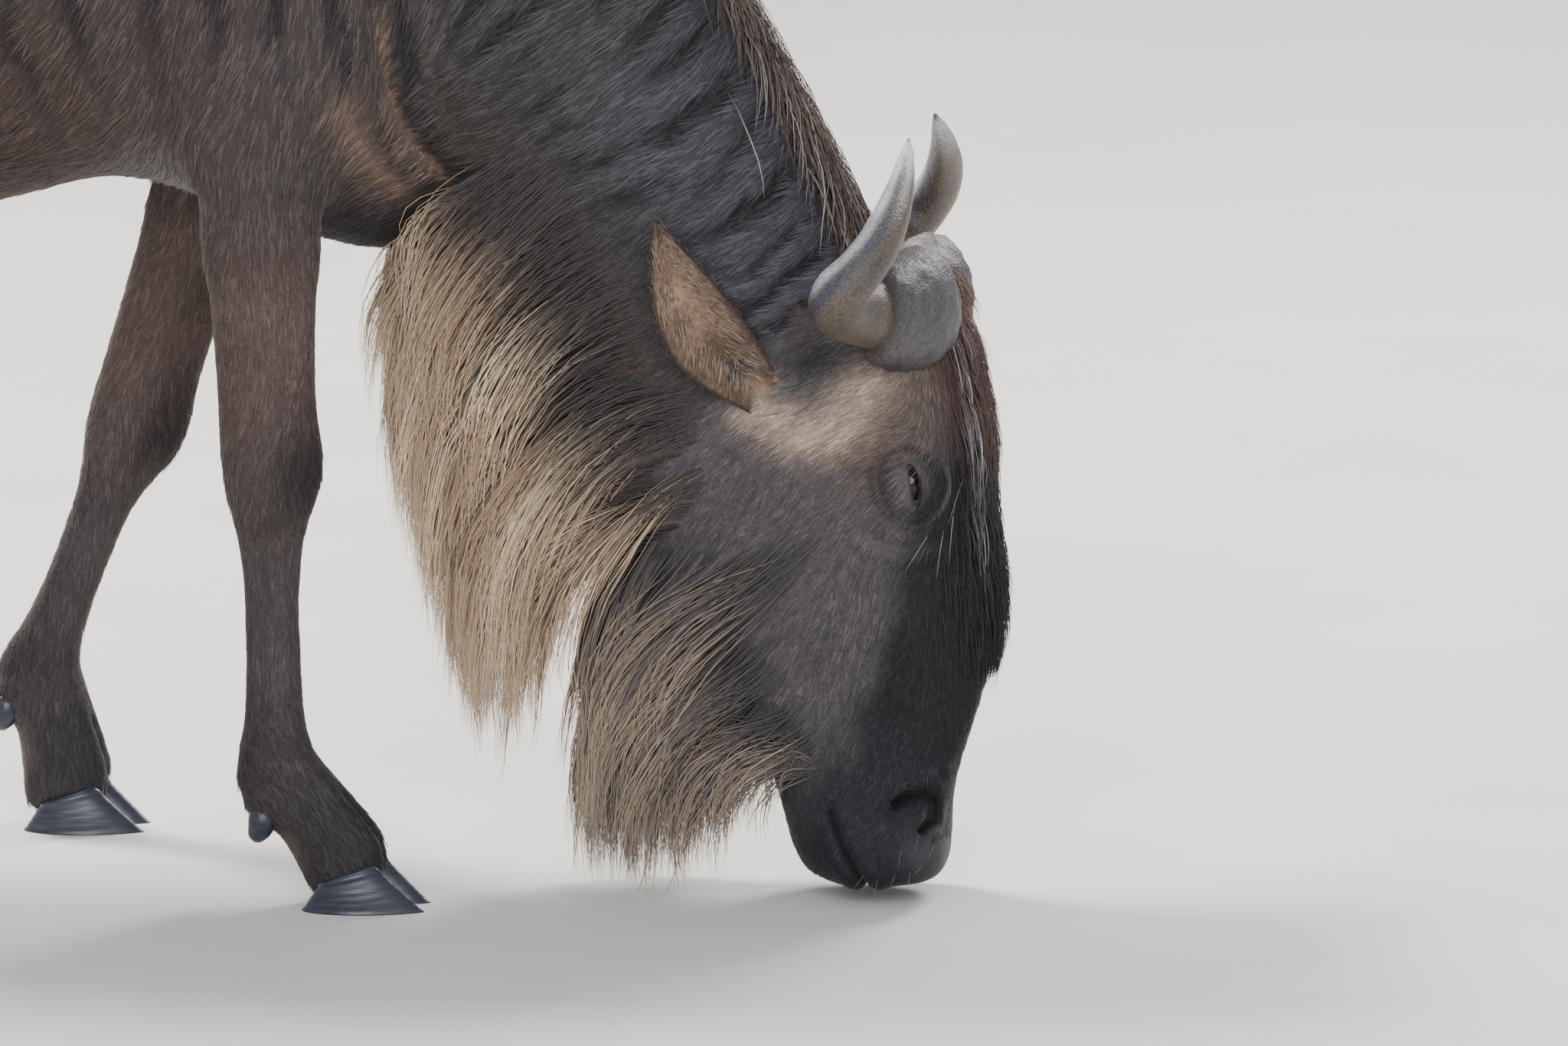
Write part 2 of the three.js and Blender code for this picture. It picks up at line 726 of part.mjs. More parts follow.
// A lock that sets out from a body's front line and lies along it, over the next one
function lyingLock(rows, place, angle, size) {
  const point = surfacePoint(rows, place, angle);
  const normal = surfaceNormal(rows, place, angle);
  const ahead = surfacePoint(rows, place + 0.5, angle).sub(point).normalize();
  const aside = new THREE.Vector3(0, Math.sign(angle), 0);
  const length = size.length * vary(0.12);
  const at = (t, height) => point.clone()
    .addScaledVector(ahead, length * t)
    .addScaledVector(normal, height * size.rise - size.lean * length * t * t * 0.3)
    .addScaledVector(aside, size.lean * length * t);
  const root = point.clone().addScaledVector(normal, -LOCK_SINK);
  const curve = new THREE.CubicBezierCurve3(root, at(0.3, 0.7), at(0.65, 1), at(1, 0.75));
  const outward = normal.clone().addScaledVector(aside, 0.4);
  return lock(curve, outward, LOCK_TAPER.map(() => size.halfWidth), size.thickness);
}

function lyingBed(rows, size) {
  const locks = [];
  for (let k = 0; k < size.count * 2; k += 1) {
    const side = k % 2 ? 1 : -1;
    const place = size.along[0] + ((size.along[1] - size.along[0]) * k) / (size.count * 2 - 1);
    locks.push(lyingLock(rows, place, side * size.turn, size));
  }
  return join(locks);
}

// Tail tuft: rings of locks down the dock, each ring outside the one below it
function tuft() {
  const locks = [];
  TUFT.rings.forEach(([place, radius, halfWidth], ring) => {
    for (let k = 0; k < TUFT.around; k += 1) {
      const angle = (2 * Math.PI * (k + 0.5 * (ring % 2))) / TUFT.around;
      const [x, z] = rowAt(DOCK, place);
      const outward = new THREE.Vector3(Math.cos(angle), Math.sin(angle), 0);
      const root = new THREE.Vector3(x, 0, z);
      const length = TUFT.length * vary(0.1);
      const at = (spread, drop) => root.clone()
        .addScaledVector(outward, radius * spread)
        .add(new THREE.Vector3(14 * drop, 0, -length * drop));
      const end = at(0.5, 1);
      end.z = Math.max(end.z, TUFT.lowest + 20 * random());
      const curve = new THREE.CubicBezierCurve3(root, at(1.25, 0.2), at(1.1, 0.7), end);
      locks.push(lock(curve, outward, LOCK_TAPER.map(() => halfWidth), TUFT.thickness));
    }
  });
  return join(locks);
}

function tailSolid() {
  const rows = DOCK.map(([x, z, depth, halfWidth], i) => {
    const next = DOCK[Math.min(i + 1, DOCK.length - 1)];
    const last = DOCK[Math.max(i - 1, 0)];
    const down = new THREE.Vector2(next[0] - last[0], next[1] - last[1]).normalize();
    const [ahead, above] = [-down.y * depth, down.x * depth];
    return [x + ahead, z + above, x - ahead, z - above, halfWidth, 0.5, 2, 2];
  });
  return body(rows, TAIL_SIDES).add(tuft());
}

// Assembly
const animal = new THREE.Group();

function addPiece(name, piece, colour, roughness) {
  const mesh = largest(piece).getMesh();
  const geometry = new THREE.BufferGeometry();
  geometry.setAttribute('position', new THREE.BufferAttribute(new Float32Array(mesh.vertProperties), 3));
  geometry.setIndex([...mesh.triVerts]);
  geometry.computeVertexNormals();
  const material = new THREE.MeshStandardMaterial({ color: colour, roughness, metalness: 0 });
  const node = new THREE.Mesh(geometry, material);
  node.name = name;
  animal.add(node);
}

const FEET = {
  foreleg_right: 'fore_right',
  foreleg_left: 'fore_left',
  hindleg_right: 'hind_right',
  hindleg_left: 'hind_left',
};

const trunk = body(TRUNK, TRUNK_SIDES);
const neckCore = body(NECK, NECK_SIDES);
let upper = join([trunk, neckCore]);
let limbs = null;
for (const [name, leg] of Object.entries(LEGS)) {
  const cut = LEG_ROOT_Z[leg.profile];
  const whole = legSolid(leg);
  upper = upper.add(whole.intersect(slab(cut + GAP / 2, FAR)));
  const sleeve = legSolid(leg, GAP).intersect(slab(-FAR, cut + GAP / 2));
  limbs = limbs ? limbs.add(sleeve) : sleeve;
  let limb = whole.intersect(slab(-FAR, cut - GAP / 2));
  for (const inner of [true, false]) {
    const label = `${FEET[name]}_${inner ? 'inner' : 'outer'}`;
    limb = limb.subtract(claw(leg, inner, GAP)).subtract(dewclaw(leg, inner, GAP));
    addPiece(`hoof_${label}`, claw(leg, inner), COLOURS.hoof, 0.35);
    addPiece(`dewclaw_${label}`, dewclaw(leg, inner), COLOURS.hoof, 0.4);
  }
  addPiece(name, limb, COLOURS.legs, 0.9);
}
const carcass = upper.subtract(limbs);

const headCore = onHead(headSolid());
const horns = { horn_right: onHead(hornSolid(-1)), horn_left: onHead(hornSolid(1)) };
const hornSockets = join([onHead(hornSolid(-1, GAP)), onHead(hornSolid(1, GAP))]);

addPiece('torso', carcass.intersect(torsoRegion(GAP / 2)), COLOURS.coat, 0.9);

const throatHair = hangingBed(NECK, FRINGE).subtract(limbs);
const neckHair = lyingBed(NECK, MANE).add(throatHair);
const neck = join([carcass, headCore, neckHair]).subtract(torsoRegion(-GAP / 2)).subtract(hornSockets);
addPiece('neck', neck.subtract(headRegion(-GAP / 2)), COLOURS.coat, 0.9);

const headFlesh = join([onHead(faceDetail(headSolid())), neckCore]);
const ears = { ear_right: onHead(earSolid(-1)), ear_left: onHead(earSolid(1)) };
const headGrown = join([onHead(headSolid(GAP)), body(NECK, NECK_SIDES, GAP)]);
const headHair = onHead(hangingBed(HEAD, BEARD).add(lyingBed(HEAD, BRUSH)));
const head = headFlesh.add(headHair).intersect(headRegion(GAP / 2)).subtract(hornSockets);
for (const side of [-1, 1]) {
  const label = side < 0 ? 'right' : 'left';
  addPiece(`ear_${label}`, ears[`ear_${label}`].subtract(headGrown), COLOURS.ear, 0.9);
  addPiece(`horn_${label}`, horns[`horn_${label}`], COLOURS.horn, 0.5);
  addPiece(`eye_${label}`, onHead(eyeball(side)), COLOURS.eye, 0.1);
}
addPiece('head', head, COLOURS.face, 0.9);
addPiece('tail', tailSolid().subtract(body(TRUNK, TRUNK_SIDES, GAP)), COLOURS.tail, 0.8);

// The origin is the middle of the footprint, on the floor
const extent = new THREE.Box3().setFromObject(animal);
animal.position.set(-(extent.min.x + extent.max.x) / 2, -(extent.min.y + extent.max.y) / 2, 0);

export default animal;
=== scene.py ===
import math

import bmesh
import bpy
import numpy as np
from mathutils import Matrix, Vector
from mathutils.kdtree import KDTree


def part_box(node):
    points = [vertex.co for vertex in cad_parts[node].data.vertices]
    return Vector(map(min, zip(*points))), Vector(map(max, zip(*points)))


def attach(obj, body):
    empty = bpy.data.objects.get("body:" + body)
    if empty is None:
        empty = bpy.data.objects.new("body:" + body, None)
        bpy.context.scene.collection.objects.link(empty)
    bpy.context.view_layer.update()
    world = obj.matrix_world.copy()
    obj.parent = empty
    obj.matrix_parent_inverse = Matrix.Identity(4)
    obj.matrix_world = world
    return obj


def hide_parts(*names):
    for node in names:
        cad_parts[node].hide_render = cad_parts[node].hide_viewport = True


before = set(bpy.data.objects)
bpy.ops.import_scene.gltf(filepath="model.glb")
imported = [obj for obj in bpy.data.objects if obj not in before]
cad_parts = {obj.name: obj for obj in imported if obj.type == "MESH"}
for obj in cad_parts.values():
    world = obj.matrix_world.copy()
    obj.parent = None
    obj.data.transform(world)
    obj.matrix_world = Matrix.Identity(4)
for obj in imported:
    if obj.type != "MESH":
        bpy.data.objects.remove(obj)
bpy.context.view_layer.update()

SEED = 23
rng = np.random.default_rng(SEED)

MM = 0.001
FORE_CLAW_MIDDLE = np.array([90.0, -155.0, 0.0])
low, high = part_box("hoof_fore_right_outer")
ORIGIN = np.array([(low.x + high.x) / 2, (low.y + high.y) / 2, 0.0]) - FORE_CLAW_MIDDLE * MM

# Camera: the photo's viewing angle, the point of the animal at the picture's centre, and its scale
PHOTO_WIDTH = 2048
CAMERA_AZIMUTH = math.radians(8)
CAMERA_ELEVATION = math.radians(13)
CAMERA_TARGET = (460, 0, 341)
CAMERA_DISTANCE = 18.0
PIXELS_PER_MM = 1.425
SENSOR_WIDTH = 36.0

# Trunk: back [x, z], belly [x, z], half width, place of the widest point, roundness of back and belly
TRUNK = [
    [-1082, 985, -1080, 925, 40, 0.5, 2, 2],
    [-1066, 1070, -1060, 820, 92, 0.5, 2, 2],
    [-1010, 1122, -1000, 715, 142, 0.5, 2, 2],
    [-910, 1150, -900, 655, 168, 0.48, 2, 2],
    [-800, 1162, -790, 640, 180, 0.46, 2, 2],
    [-690, 1166, -690, 650, 192, 0.45, 2, 2.1],
    [-560, 1172, -560, 632, 212, 0.44, 1.95, 2.2],
    [-420, 1186, -420, 612, 222, 0.43, 1.9, 2.2],
    [-280, 1212, -280, 622, 218, 0.43, 1.8, 2.2],
    [-150, 1250, -150, 650, 204, 0.42, 1.7, 2.1],
    [-50, 1283, -40, 622, 186, 0.42, 1.6, 2],
    [45, 1272, 55, 590, 166, 0.42, 1.6, 1.9],
    [125, 1200, 118, 592, 140, 0.42, 1.7, 1.8],
    [185, 1090, 165, 635, 108, 0.45, 1.8, 1.9],
    [215, 960, 200, 740, 56, 0.5, 2, 2],
]

# Neck: crest [x, z], throat [x, z], then as the trunk
NECK = [
    [-60, 1278, -90, 860, 105, 0.5, 1.5, 2],
    [50, 1252, -20, 740, 124, 0.48, 1.5, 2],
    [170, 1158, 40, 672, 128, 0.46, 1.5, 2],
    [290, 1030, 92, 642, 122, 0.45, 1.6, 2],
    [385, 898, 124, 628, 114, 0.45, 1.7, 1.9],
    [450, 782, 155, 608, 106, 0.46, 1.7, 1.8],
    [497, 692, 200, 528, 99, 0.48, 1.8, 1.8],
    [530, 622, 245, 441, 88, 0.5, 1.9, 1.8],
    [552, 560, 290, 354, 80, 0.5, 2, 1.9],
    [560, 500, 330, 292, 72, 0.5, 2, 2],
]

# Head: nose line [x, z], jaw line [x, z], then as the trunk
HEAD = [
    [596, 590, 505, 612, 44, 0.5, 2, 2],
    [620, 548, 446, 580, 70, 0.52, 2, 2],
    [632, 505, 396, 528, 84, 0.56, 2.3, 2],
    [641, 462, 360, 470, 96, 0.64, 2.5, 1.8],
    [645, 425, 340, 415, 100, 0.7, 2.5, 1.8],
    [647, 390, 328, 362, 95, 0.7, 2.3, 1.8],
    [652, 350, 324, 312, 84, 0.62, 2.1, 1.9],
    [658, 310, 340, 268, 77, 0.52, 2, 2],
    [660, 268, 374, 224, 70, 0.46, 2, 2.1],
    [656, 226, 408, 182, 61, 0.44, 2, 2.2],
    [646, 184, 434, 144, 54, 0.46, 2.1, 2.2],
    [633, 142, 452, 108, 53, 0.5, 2.3, 2.2],
    [623, 104, 463, 74, 59, 0.54, 2.5, 2.3],
    [620, 68, 472, 46, 65, 0.58, 2.7, 2.4],
    [619, 38, 486, 24, 63, 0.6, 2.7, 2.4],
    [608, 17, 508, 12, 50, 0.6, 2.4, 2.2],
]
HEAD_PIVOT = np.array([500.0, 0.0, 480.0])
HEAD_ROLL = math.radians(-3.7)
HEAD_YAW = math.radians(-0.8)

# Legs: joint centres [x, y, z] from the shoulder or hip to the coronet, as on the right side
LEGS = {
    "foreleg_right": (-1, "fore", [
        [-12, 122, 1010], [-4, 126, 690], [4, 126, 400], [8, 130, 128], [74, 132, 40]]),
    "foreleg_left": (1, "fore", [
        [-30, 122, 1010], [-66, 126, 690], [-168, 128, 380], [-258, 132, 152], [-232, 134, 44]]),
    "hindleg_right": (-1, "hind", [
        [-915, 84, 990], [-868, 112, 740], [-1010, 104, 492], [-992, 112, 138], [-936, 116, 42]]),
    "hindleg_left": (1, "hind", [
        [-905, 84, 990], [-838, 112, 740], [-938, 104, 490], [-890, 112, 138], [-832, 116, 42]]),
}
LEG_END = 4.2
LEG_STEP = 0.03

# Leg thickness: place along the joints, depth in front, depth behind, half width
LEG_PROFILE = {
    "fore": [
        [0, 60, 74, 22], [0.4, 104, 106, 44], [0.75, 92, 92, 49], [1, 68, 65, 46], [1.22, 57, 59, 41],
        [1.46, 49, 51, 36], [1.7, 46, 48, 33], [1.9, 48, 47, 36], [2.02, 48, 46, 37], [2.12, 40, 39, 32],
        [2.24, 30, 31, 26], [2.4, 27, 28, 22], [2.65, 27, 27, 21], [2.85, 30, 30, 23], [3, 40, 40, 30],
        [3.3, 40, 37, 30], [3.6, 42, 37, 32], [3.9, 44, 42, 36], [4.08, 41, 46, 37], [4.2, 33, 42, 33],
    ],
    "hind": [
        [0, 120, 96, 40], [0.5, 138, 130, 62], [0.85, 104, 148, 64], [1, 84, 122, 60], [1.3, 66, 84, 48],
        [1.6, 48, 56, 36], [1.85, 42, 47, 31], [2, 43, 56, 32], [2.1, 40, 44, 31], [2.25, 31, 34, 26],
        [2.45, 27, 29, 23], [2.75, 27, 29, 23], [2.88, 31, 32, 25], [3, 40, 40, 30], [3.3, 37, 35, 29],
        [3.6, 39, 36, 31], [3.9, 43, 42, 36], [4.08, 41, 46, 37], [4.2, 33, 42, 33],
    ],
}

CLAW = {"behind": 38, "ahead": 75, "height": 44, "half_width": 19, "offset": 23, "lean": 18,
        "toe_in": 5}

# Horn centre line [x, y, z] from the middle of the boss outwards, then its two radii
HORN_PARTING = 2
HORN = [
    [584, -8, 552, 30, 44], [587, 24, 550, 33, 49], [586, 46, 549, 34, 50], [572, 80, 551, 28, 42],
    [553, 114, 556, 25, 31], [540, 148, 562, 24, 27], [534, 180, 572, 24, 25], [540, 201, 588, 24, 24],
    [558, 205, 608, 22, 22], [573, 192, 630, 20, 20], [582, 168, 654, 17, 17], [586, 132, 679, 12, 12],
    [586, 102, 699, 7, 7], [585, 82, 713, 1.5, 1.5],
]

BOSS = {"swell": 0.2, "shoulder": (104, 124)}

EAR = {"root": (456, 74, 466), "tip": (366, 150, 640), "facing": (0.25, 0.97, 0), "width": 74, "bow": -17,
       "cup": 18, "thickness": 4, "outline": [0.5, 0.72, 0.9, 1, 0.98, 0.84, 0.6, 0.32, 0.04]}
EYE = {"centre": np.array([591.0, 84.0, 398.0]), "radius": 19.0, "orbit": (40, 21, 42)}
DOCK = [[-1010, 1080, 30, 30], [-1070, 1062, 28, 30], [-1108, 1010, 22, 24], [-1124, 930, 17, 18],
        [-1130, 840, 14, 15], [-1131, 760, 11, 12], [-1130, 700, 5, 6]]

# How far the skin lies inside the solids, for the coat that stands on it
COAT_DEPTH = {"trunk": 4, "neck": 5, "head": 2, "leg": 2}
SKIN_VOXEL = 6.0
SKIN_SHADE = 0.85
HAIR_CLEARANCE = 3.0


def srgb(red, green, blue):
    """Linear colour from 8-bit screen values."""
    value = np.array([red, green, blue]) / 255
    return np.where(value <= 0.04045, value / 12.92, ((value + 0.055) / 1.055) ** 2.4)


def noise(points, size, seed=0):
    """Smooth random value from about -1 to 1 at each point, with waves of about the given size."""
    waves = np.random.default_rng(1000 + seed)
    total = np.zeros(len(points))
    for _ in range(7):
        way = waves.normal(size=3)
        way /= np.linalg.norm(way)
        length = size * waves.uniform(0.7, 1.5)
        total += np.sin(points @ way * (2 * math.pi / length) + waves.uniform(0, 2 * math.pi))
    return np.clip(total / 3.2, -1, 1)


def step(value, start, end):
    """Smooth step from 0 at start to 1 at end."""
    share = np.clip((value - start) / (end - start), 0, 1)
    return share * share * (3 - 2 * share)


def swell(distance, reach):
    """1 at distance 0, fading to nothing beyond the reach."""
    return np.exp(-(distance / reach) ** 2)


def round_angles(sides):
    return np.arange(sides) * 2 * math.pi / sides


def from_front(angle):
    """Angle from the front line, the same on both sides."""
    return np.minimum(angle, 2 * math.pi - angle)


def right_side(points):
    """The points, with those of the left side mirrored to the right."""
    return np.stack([points[:, 0], -np.abs(points[:, 1]), points[:, 2]], 1)


def unit(vectors):
    return vectors / np.maximum(np.linalg.norm(vectors, axis=-1, keepdims=True), 1e-9)


def turn_head(points, back=False):
    """The head's roll and yaw about its pivot, or the way back."""
    cy, sy = math.cos(HEAD_YAW), math.sin(HEAD_YAW)
    cr, sr = math.cos(HEAD_ROLL), math.sin(HEAD_ROLL)
    yaw = np.array([[cy, -sy, 0], [sy, cy, 0], [0, 0, 1]])
    roll = np.array([[1, 0, 0], [0, cr, -sr], [0, sr, cr]])
    turn = roll @ yaw
    if back:
        turn = turn.T
    return (points - HEAD_PIVOT) @ turn.T + HEAD_PIVOT


class Loft:
    """A smooth body through rings: points on it by place along and angle round from its front line."""

    def __init__(self, rows, grow=0.0, fine=24, middle=None):
        rows = np.array(rows, float)
        places = np.linspace(0, len(rows) - 1, (len(rows) - 1) * fine + 1)
        index = np.minimum(places.astype(int), len(rows) - 2)
        share = (places - index)[:, None]
        before = rows[np.maximum(index - 1, 0)]
        start = rows[index]
        end = rows[index + 1]
        after = rows[np.minimum(index + 2, len(rows) - 1)]
        leave = (end - before) / 2
        arrive = (after - start) / 2
        a = 2 * (start - end) + leave + arrive
        b = 3 * (end - start) - 2 * leave - arrive
        self.table = ((a * share + b) * share + leave) * share + start
        self.places = places
        self.last = len(rows) - 1
        self.grow = grow
        self.middle = middle

    def row(self, place):
        place = np.atleast_1d(place)
        return np.stack([np.interp(place, self.places, column) for column in self.table.T], 1)

    def point(self, place, angle, grow=None):
        grow = self.grow if grow is None else grow
        row = self.row(place)
        angle = np.atleast_1d(angle)
        front = row[:, 0:2]
        rear = row[:, 2:4]
        axis = unit(front - rear)
        front = front + axis * grow
        rear = rear - axis * grow
        cosine = np.cos(angle)
        sine = np.sin(angle)
        power = np.where(cosine >= 0, row[:, 6], row[:, 7])
        end = np.where((cosine >= 0)[:, None], front, rear)
        widest = rear + (front - rear) * row[:, 5:6]
        reach = np.abs(cosine) ** (2 / power)
        side = np.sign(sine) * np.abs(sine) ** (2 / power) * (row[:, 4] + grow)
        at = widest + (end - widest) * reach[:, None]
        middle = 0 if self.middle is None else np.interp(place, self.places, self.middle)
        return np.stack([at[:, 0], side + middle, at[:, 1]], 1)

    def normal(self, place, angle):
        along = self.point(place + 0.03, angle) - self.point(place - 0.03, angle)
        round_ = self.point(place, angle + 0.03) - self.point(place, angle - 0.03)
        normal = unit(np.cross(along, round_))
        front = self.point(place, np.zeros_like(angle))
        rear = self.point(place, np.full_like(angle, math.pi))
        inside = (front + rear) / 2
        out = np.sum(normal * (self.point(place, angle) - inside), 1, keepdims=True)
        return normal * np.where(out < 0, -1, 1)

    def grid(self, along, sides):
        place = np.repeat(np.linspace(0, self.last, along), sides)
        angle = np.tile(round_angles(sides), along)
        return self.point(place, angle), place, angle


def skin_of_rings(points, along, sides):
    """Triangles of a closed skin over rings of points, with a middle point at each end."""
    rings = points.reshape(along, sides, 3)
    ends = np.stack([rings[0].mean(0), rings[-1].mean(0)])
    points = np.concatenate([points, ends])
    ring = np.arange(sides)
    following = (ring + 1) % sides
    tris = []
    for i in range(along - 1):
        a, b = i * sides + ring, i * sides + following
        tris.append(np.stack([a, b, a + sides], 1))
        tris.append(np.stack([b, b + sides, a + sides], 1))
    first = along * sides
    top = (along - 1) * sides
    tris.append(np.stack([np.full(sides, first), following, ring], 1))
    tris.append(np.stack([np.full(sides, first + 1), top + ring, top + following], 1))
    tris = np.concatenate(tris)
    a, b, c = (points[tris[:, k]] for k in range(3))
    if np.sum(a * np.cross(b, c)) < 0:
        tris = tris[:, ::-1]
    return points, tris


def mesh_object(name, points, tris, slot=None):
    """A triangle mesh object from millimetres in the animal's own frame."""
    mesh = bpy.data.meshes.new(name)
    mesh.vertices.add(len(points))
    mesh.vertices.foreach_set("co", (np.asarray(points) * MM + ORIGIN).astype(np.float32).ravel())
    mesh.loops.add(len(tris) * 3)
    mesh.loops.foreach_set("vertex_index", np.asarray(tris).astype(np.int32).ravel())
    mesh.polygons.add(len(tris))
    mesh.polygons.foreach_set("loop_start", np.arange(0, len(tris) * 3, 3, dtype=np.int32))
    mesh.update(calc_edges=True)
    mesh.polygons.foreach_set("use_smooth", np.ones(len(tris), bool))
    piece = bpy.data.objects.new(name, mesh)
    bpy.context.scene.collection.objects.link(piece)
    if slot:
        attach(piece, "root")
    return piece


def read(items, name, width, kind=np.float32):
    """An attribute of all items of a mesh, in rows of the given width."""
    values = np.zeros(len(items) * width, kind)
    items.foreach_get(name, values)
    return values.reshape(-1, width)


def mesh_points(mesh):
    return (read(mesh.vertices, "co", 3).astype(float) - ORIGIN) / MM


def mesh_normals(mesh):
    return read(mesh.vertex_normals, "vector", 3).astype(float)


def mesh_edges(mesh):
    return read(mesh.edges, "vertices", 2, np.int32)


def set_mesh_points(mesh, points):
    mesh.vertices.foreach_set("co", (points * MM + ORIGIN).astype(np.float32).ravel())
    mesh.update()


def relax(points, edges, weight, rounds):
    """Moves each point towards the mean of its neighbours, as far as its weight says."""
    count = len(points)
    degree = np.bincount(edges.ravel(), minlength=count)
    for _ in range(rounds):
        mean = np.empty_like(points)
        for k in range(3):
            near = np.bincount(edges[:, 0], points[edges[:, 1], k], count)
            near += np.bincount(edges[:, 1], points[edges[:, 0], k], count)
            mean[:, k] = near / np.maximum(degree, 1)
        points = points + (mean - points) * weight[:, None]
    return points


def solid_piece(name, points, tris, slot, kind, node):
    """A piece that takes the place of a solid."""
    piece = mesh_object(name, points, tris, slot)
    piece.data.materials.append(MATERIALS[kind])
    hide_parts(node)
    return piece


def add_colours(mesh, colours):
    layer = mesh.color_attributes.new(name="Coat", type="FLOAT_COLOR", domain="POINT")
    full = np.concatenate([colours, np.ones((len(colours), 1))], 1)
    layer.data.foreach_set("color", full.astype(np.float32).ravel())


# Lofts of the flesh

def leg_loft(name, grow):
    """A leg from shoulder or hip to coronet, as a loft whose rows lie LEG_STEP apart."""
    side, kind, joints = LEGS[name]
    joints = np.array(joints, float) * [1, side, 1]
    joints = np.concatenate([joints, [2 * joints[-1] - joints[-2]]])
    places = np.arange(0, LEG_END + 0.0001, LEG_STEP)
    centre = np.stack([np.interp(places, np.arange(len(joints)), joints[:, k]) for k in range(3)], 1)
    profile = np.array(LEG_PROFILE[kind], float)
    depth = np.stack([np.interp(places, profile[:, 0], profile[:, k]) for k in (1, 2, 3)], 1)
    for _ in range(5):
        centre[1:-1] = (centre[:-2] + 2 * centre[1:-1] + centre[2:]) / 4
        depth[1:-1] = (depth[:-2] + 2 * depth[1:-1] + depth[2:]) / 4
    down = unit(np.gradient(centre[:, [0, 2]], axis=0))
    for _ in range(8):
        down[1:-1] = unit(down[:-2] + 2 * down[1:-1] + down[2:])
    forward = np.stack([-down[:, 1], down[:, 0]], 1)
    front = centre[:, [0, 2]] + forward * depth[:, 0:1]
    rear = centre[:, [0, 2]] - forward * depth[:, 1:2]
    widest = depth[:, 1:2] / (depth[:, 0:1] + depth[:, 1:2])
    round_ = np.full((len(places), 2), 2.1)
    rows = np.concatenate([front, rear, depth[:, 2:3], widest, round_], 1)
    loft = Loft(rows, grow, fine=1, middle=centre[:, 1])
    loft.leg_places = places
    return loft


def dock_loft(grow):
    """The fleshy root of the tail."""
    rows = []
    for i, (x, z, depth, half_width) in enumerate(DOCK):
        x1, z1 = DOCK[min(i + 1, len(DOCK) - 1)][:2]
        x0, z0 = DOCK[max(i - 1, 0)][:2]
        size = math.hypot(x1 - x0, z1 - z0)
        dx, dz = (x1 - x0) / size, (z1 - z0) / size
        rows.append([x - dz * depth, z + dx * depth, x + dz * depth, z - dx * depth, half_width, 0.5, 2, 2])
    return Loft(rows, grow)


trunk = Loft(TRUNK, -COAT_DEPTH["trunk"])
neck = Loft(NECK, -COAT_DEPTH["neck"])
head = Loft(HEAD, -COAT_DEPTH["head"])
dock = dock_loft(-COAT_DEPTH["leg"])
legs = {name: leg_loft(name, -COAT_DEPTH["leg"]) for name in LEGS}


def ellipsoid(centre, radii, sides=40):
    """Points and triangles of a closed ball with three radii."""
    rings = sides // 2
    tilt = np.repeat(np.linspace(0.02, math.pi - 0.02, rings), sides)
    turn = np.tile(round_angles(sides), rings)
    ball = np.stack([np.sin(tilt) * np.cos(turn), np.sin(tilt) * np.sin(turn), np.cos(tilt)], 1)
    return skin_of_rings(ball * radii + centre, rings, sides)


def mirrored(point, side):
    """A point given on the left side of the animal, on the side asked for."""
    return np.array(point, float) * [1, side, 1]


def flesh_parts():
    """Closed parts of the body, which the skin is wrapped round."""
    parts = []
    for loft, along, turned in [(trunk, 120, False), (neck, 90, False), (head, 130, True), (dock, 60, False)]:
        points, _, _ = loft.grid(along, 84)
        points = turn_head(points) if turned else points
        parts.append(skin_of_rings(points, along, 84))
    for loft in legs.values():
        points, _, _ = loft.grid(len(loft.leg_places), 48)
        parts.append(skin_of_rings(points, len(loft.leg_places), 48))
    for side in (-1, 1):
        points, tris = ellipsoid(mirrored(EYE["centre"], side) - [3, 0, 0], EYE["orbit"])
        parts.append((turn_head(points), tris))
        # the swelling that carries the ear
        root = mirrored(EAR["root"], side) + mirrored([12, -20, -14], side)
        points, tris = ellipsoid(root, (30, 24, 30))
        parts.append((turn_head(points), tris))
    return parts


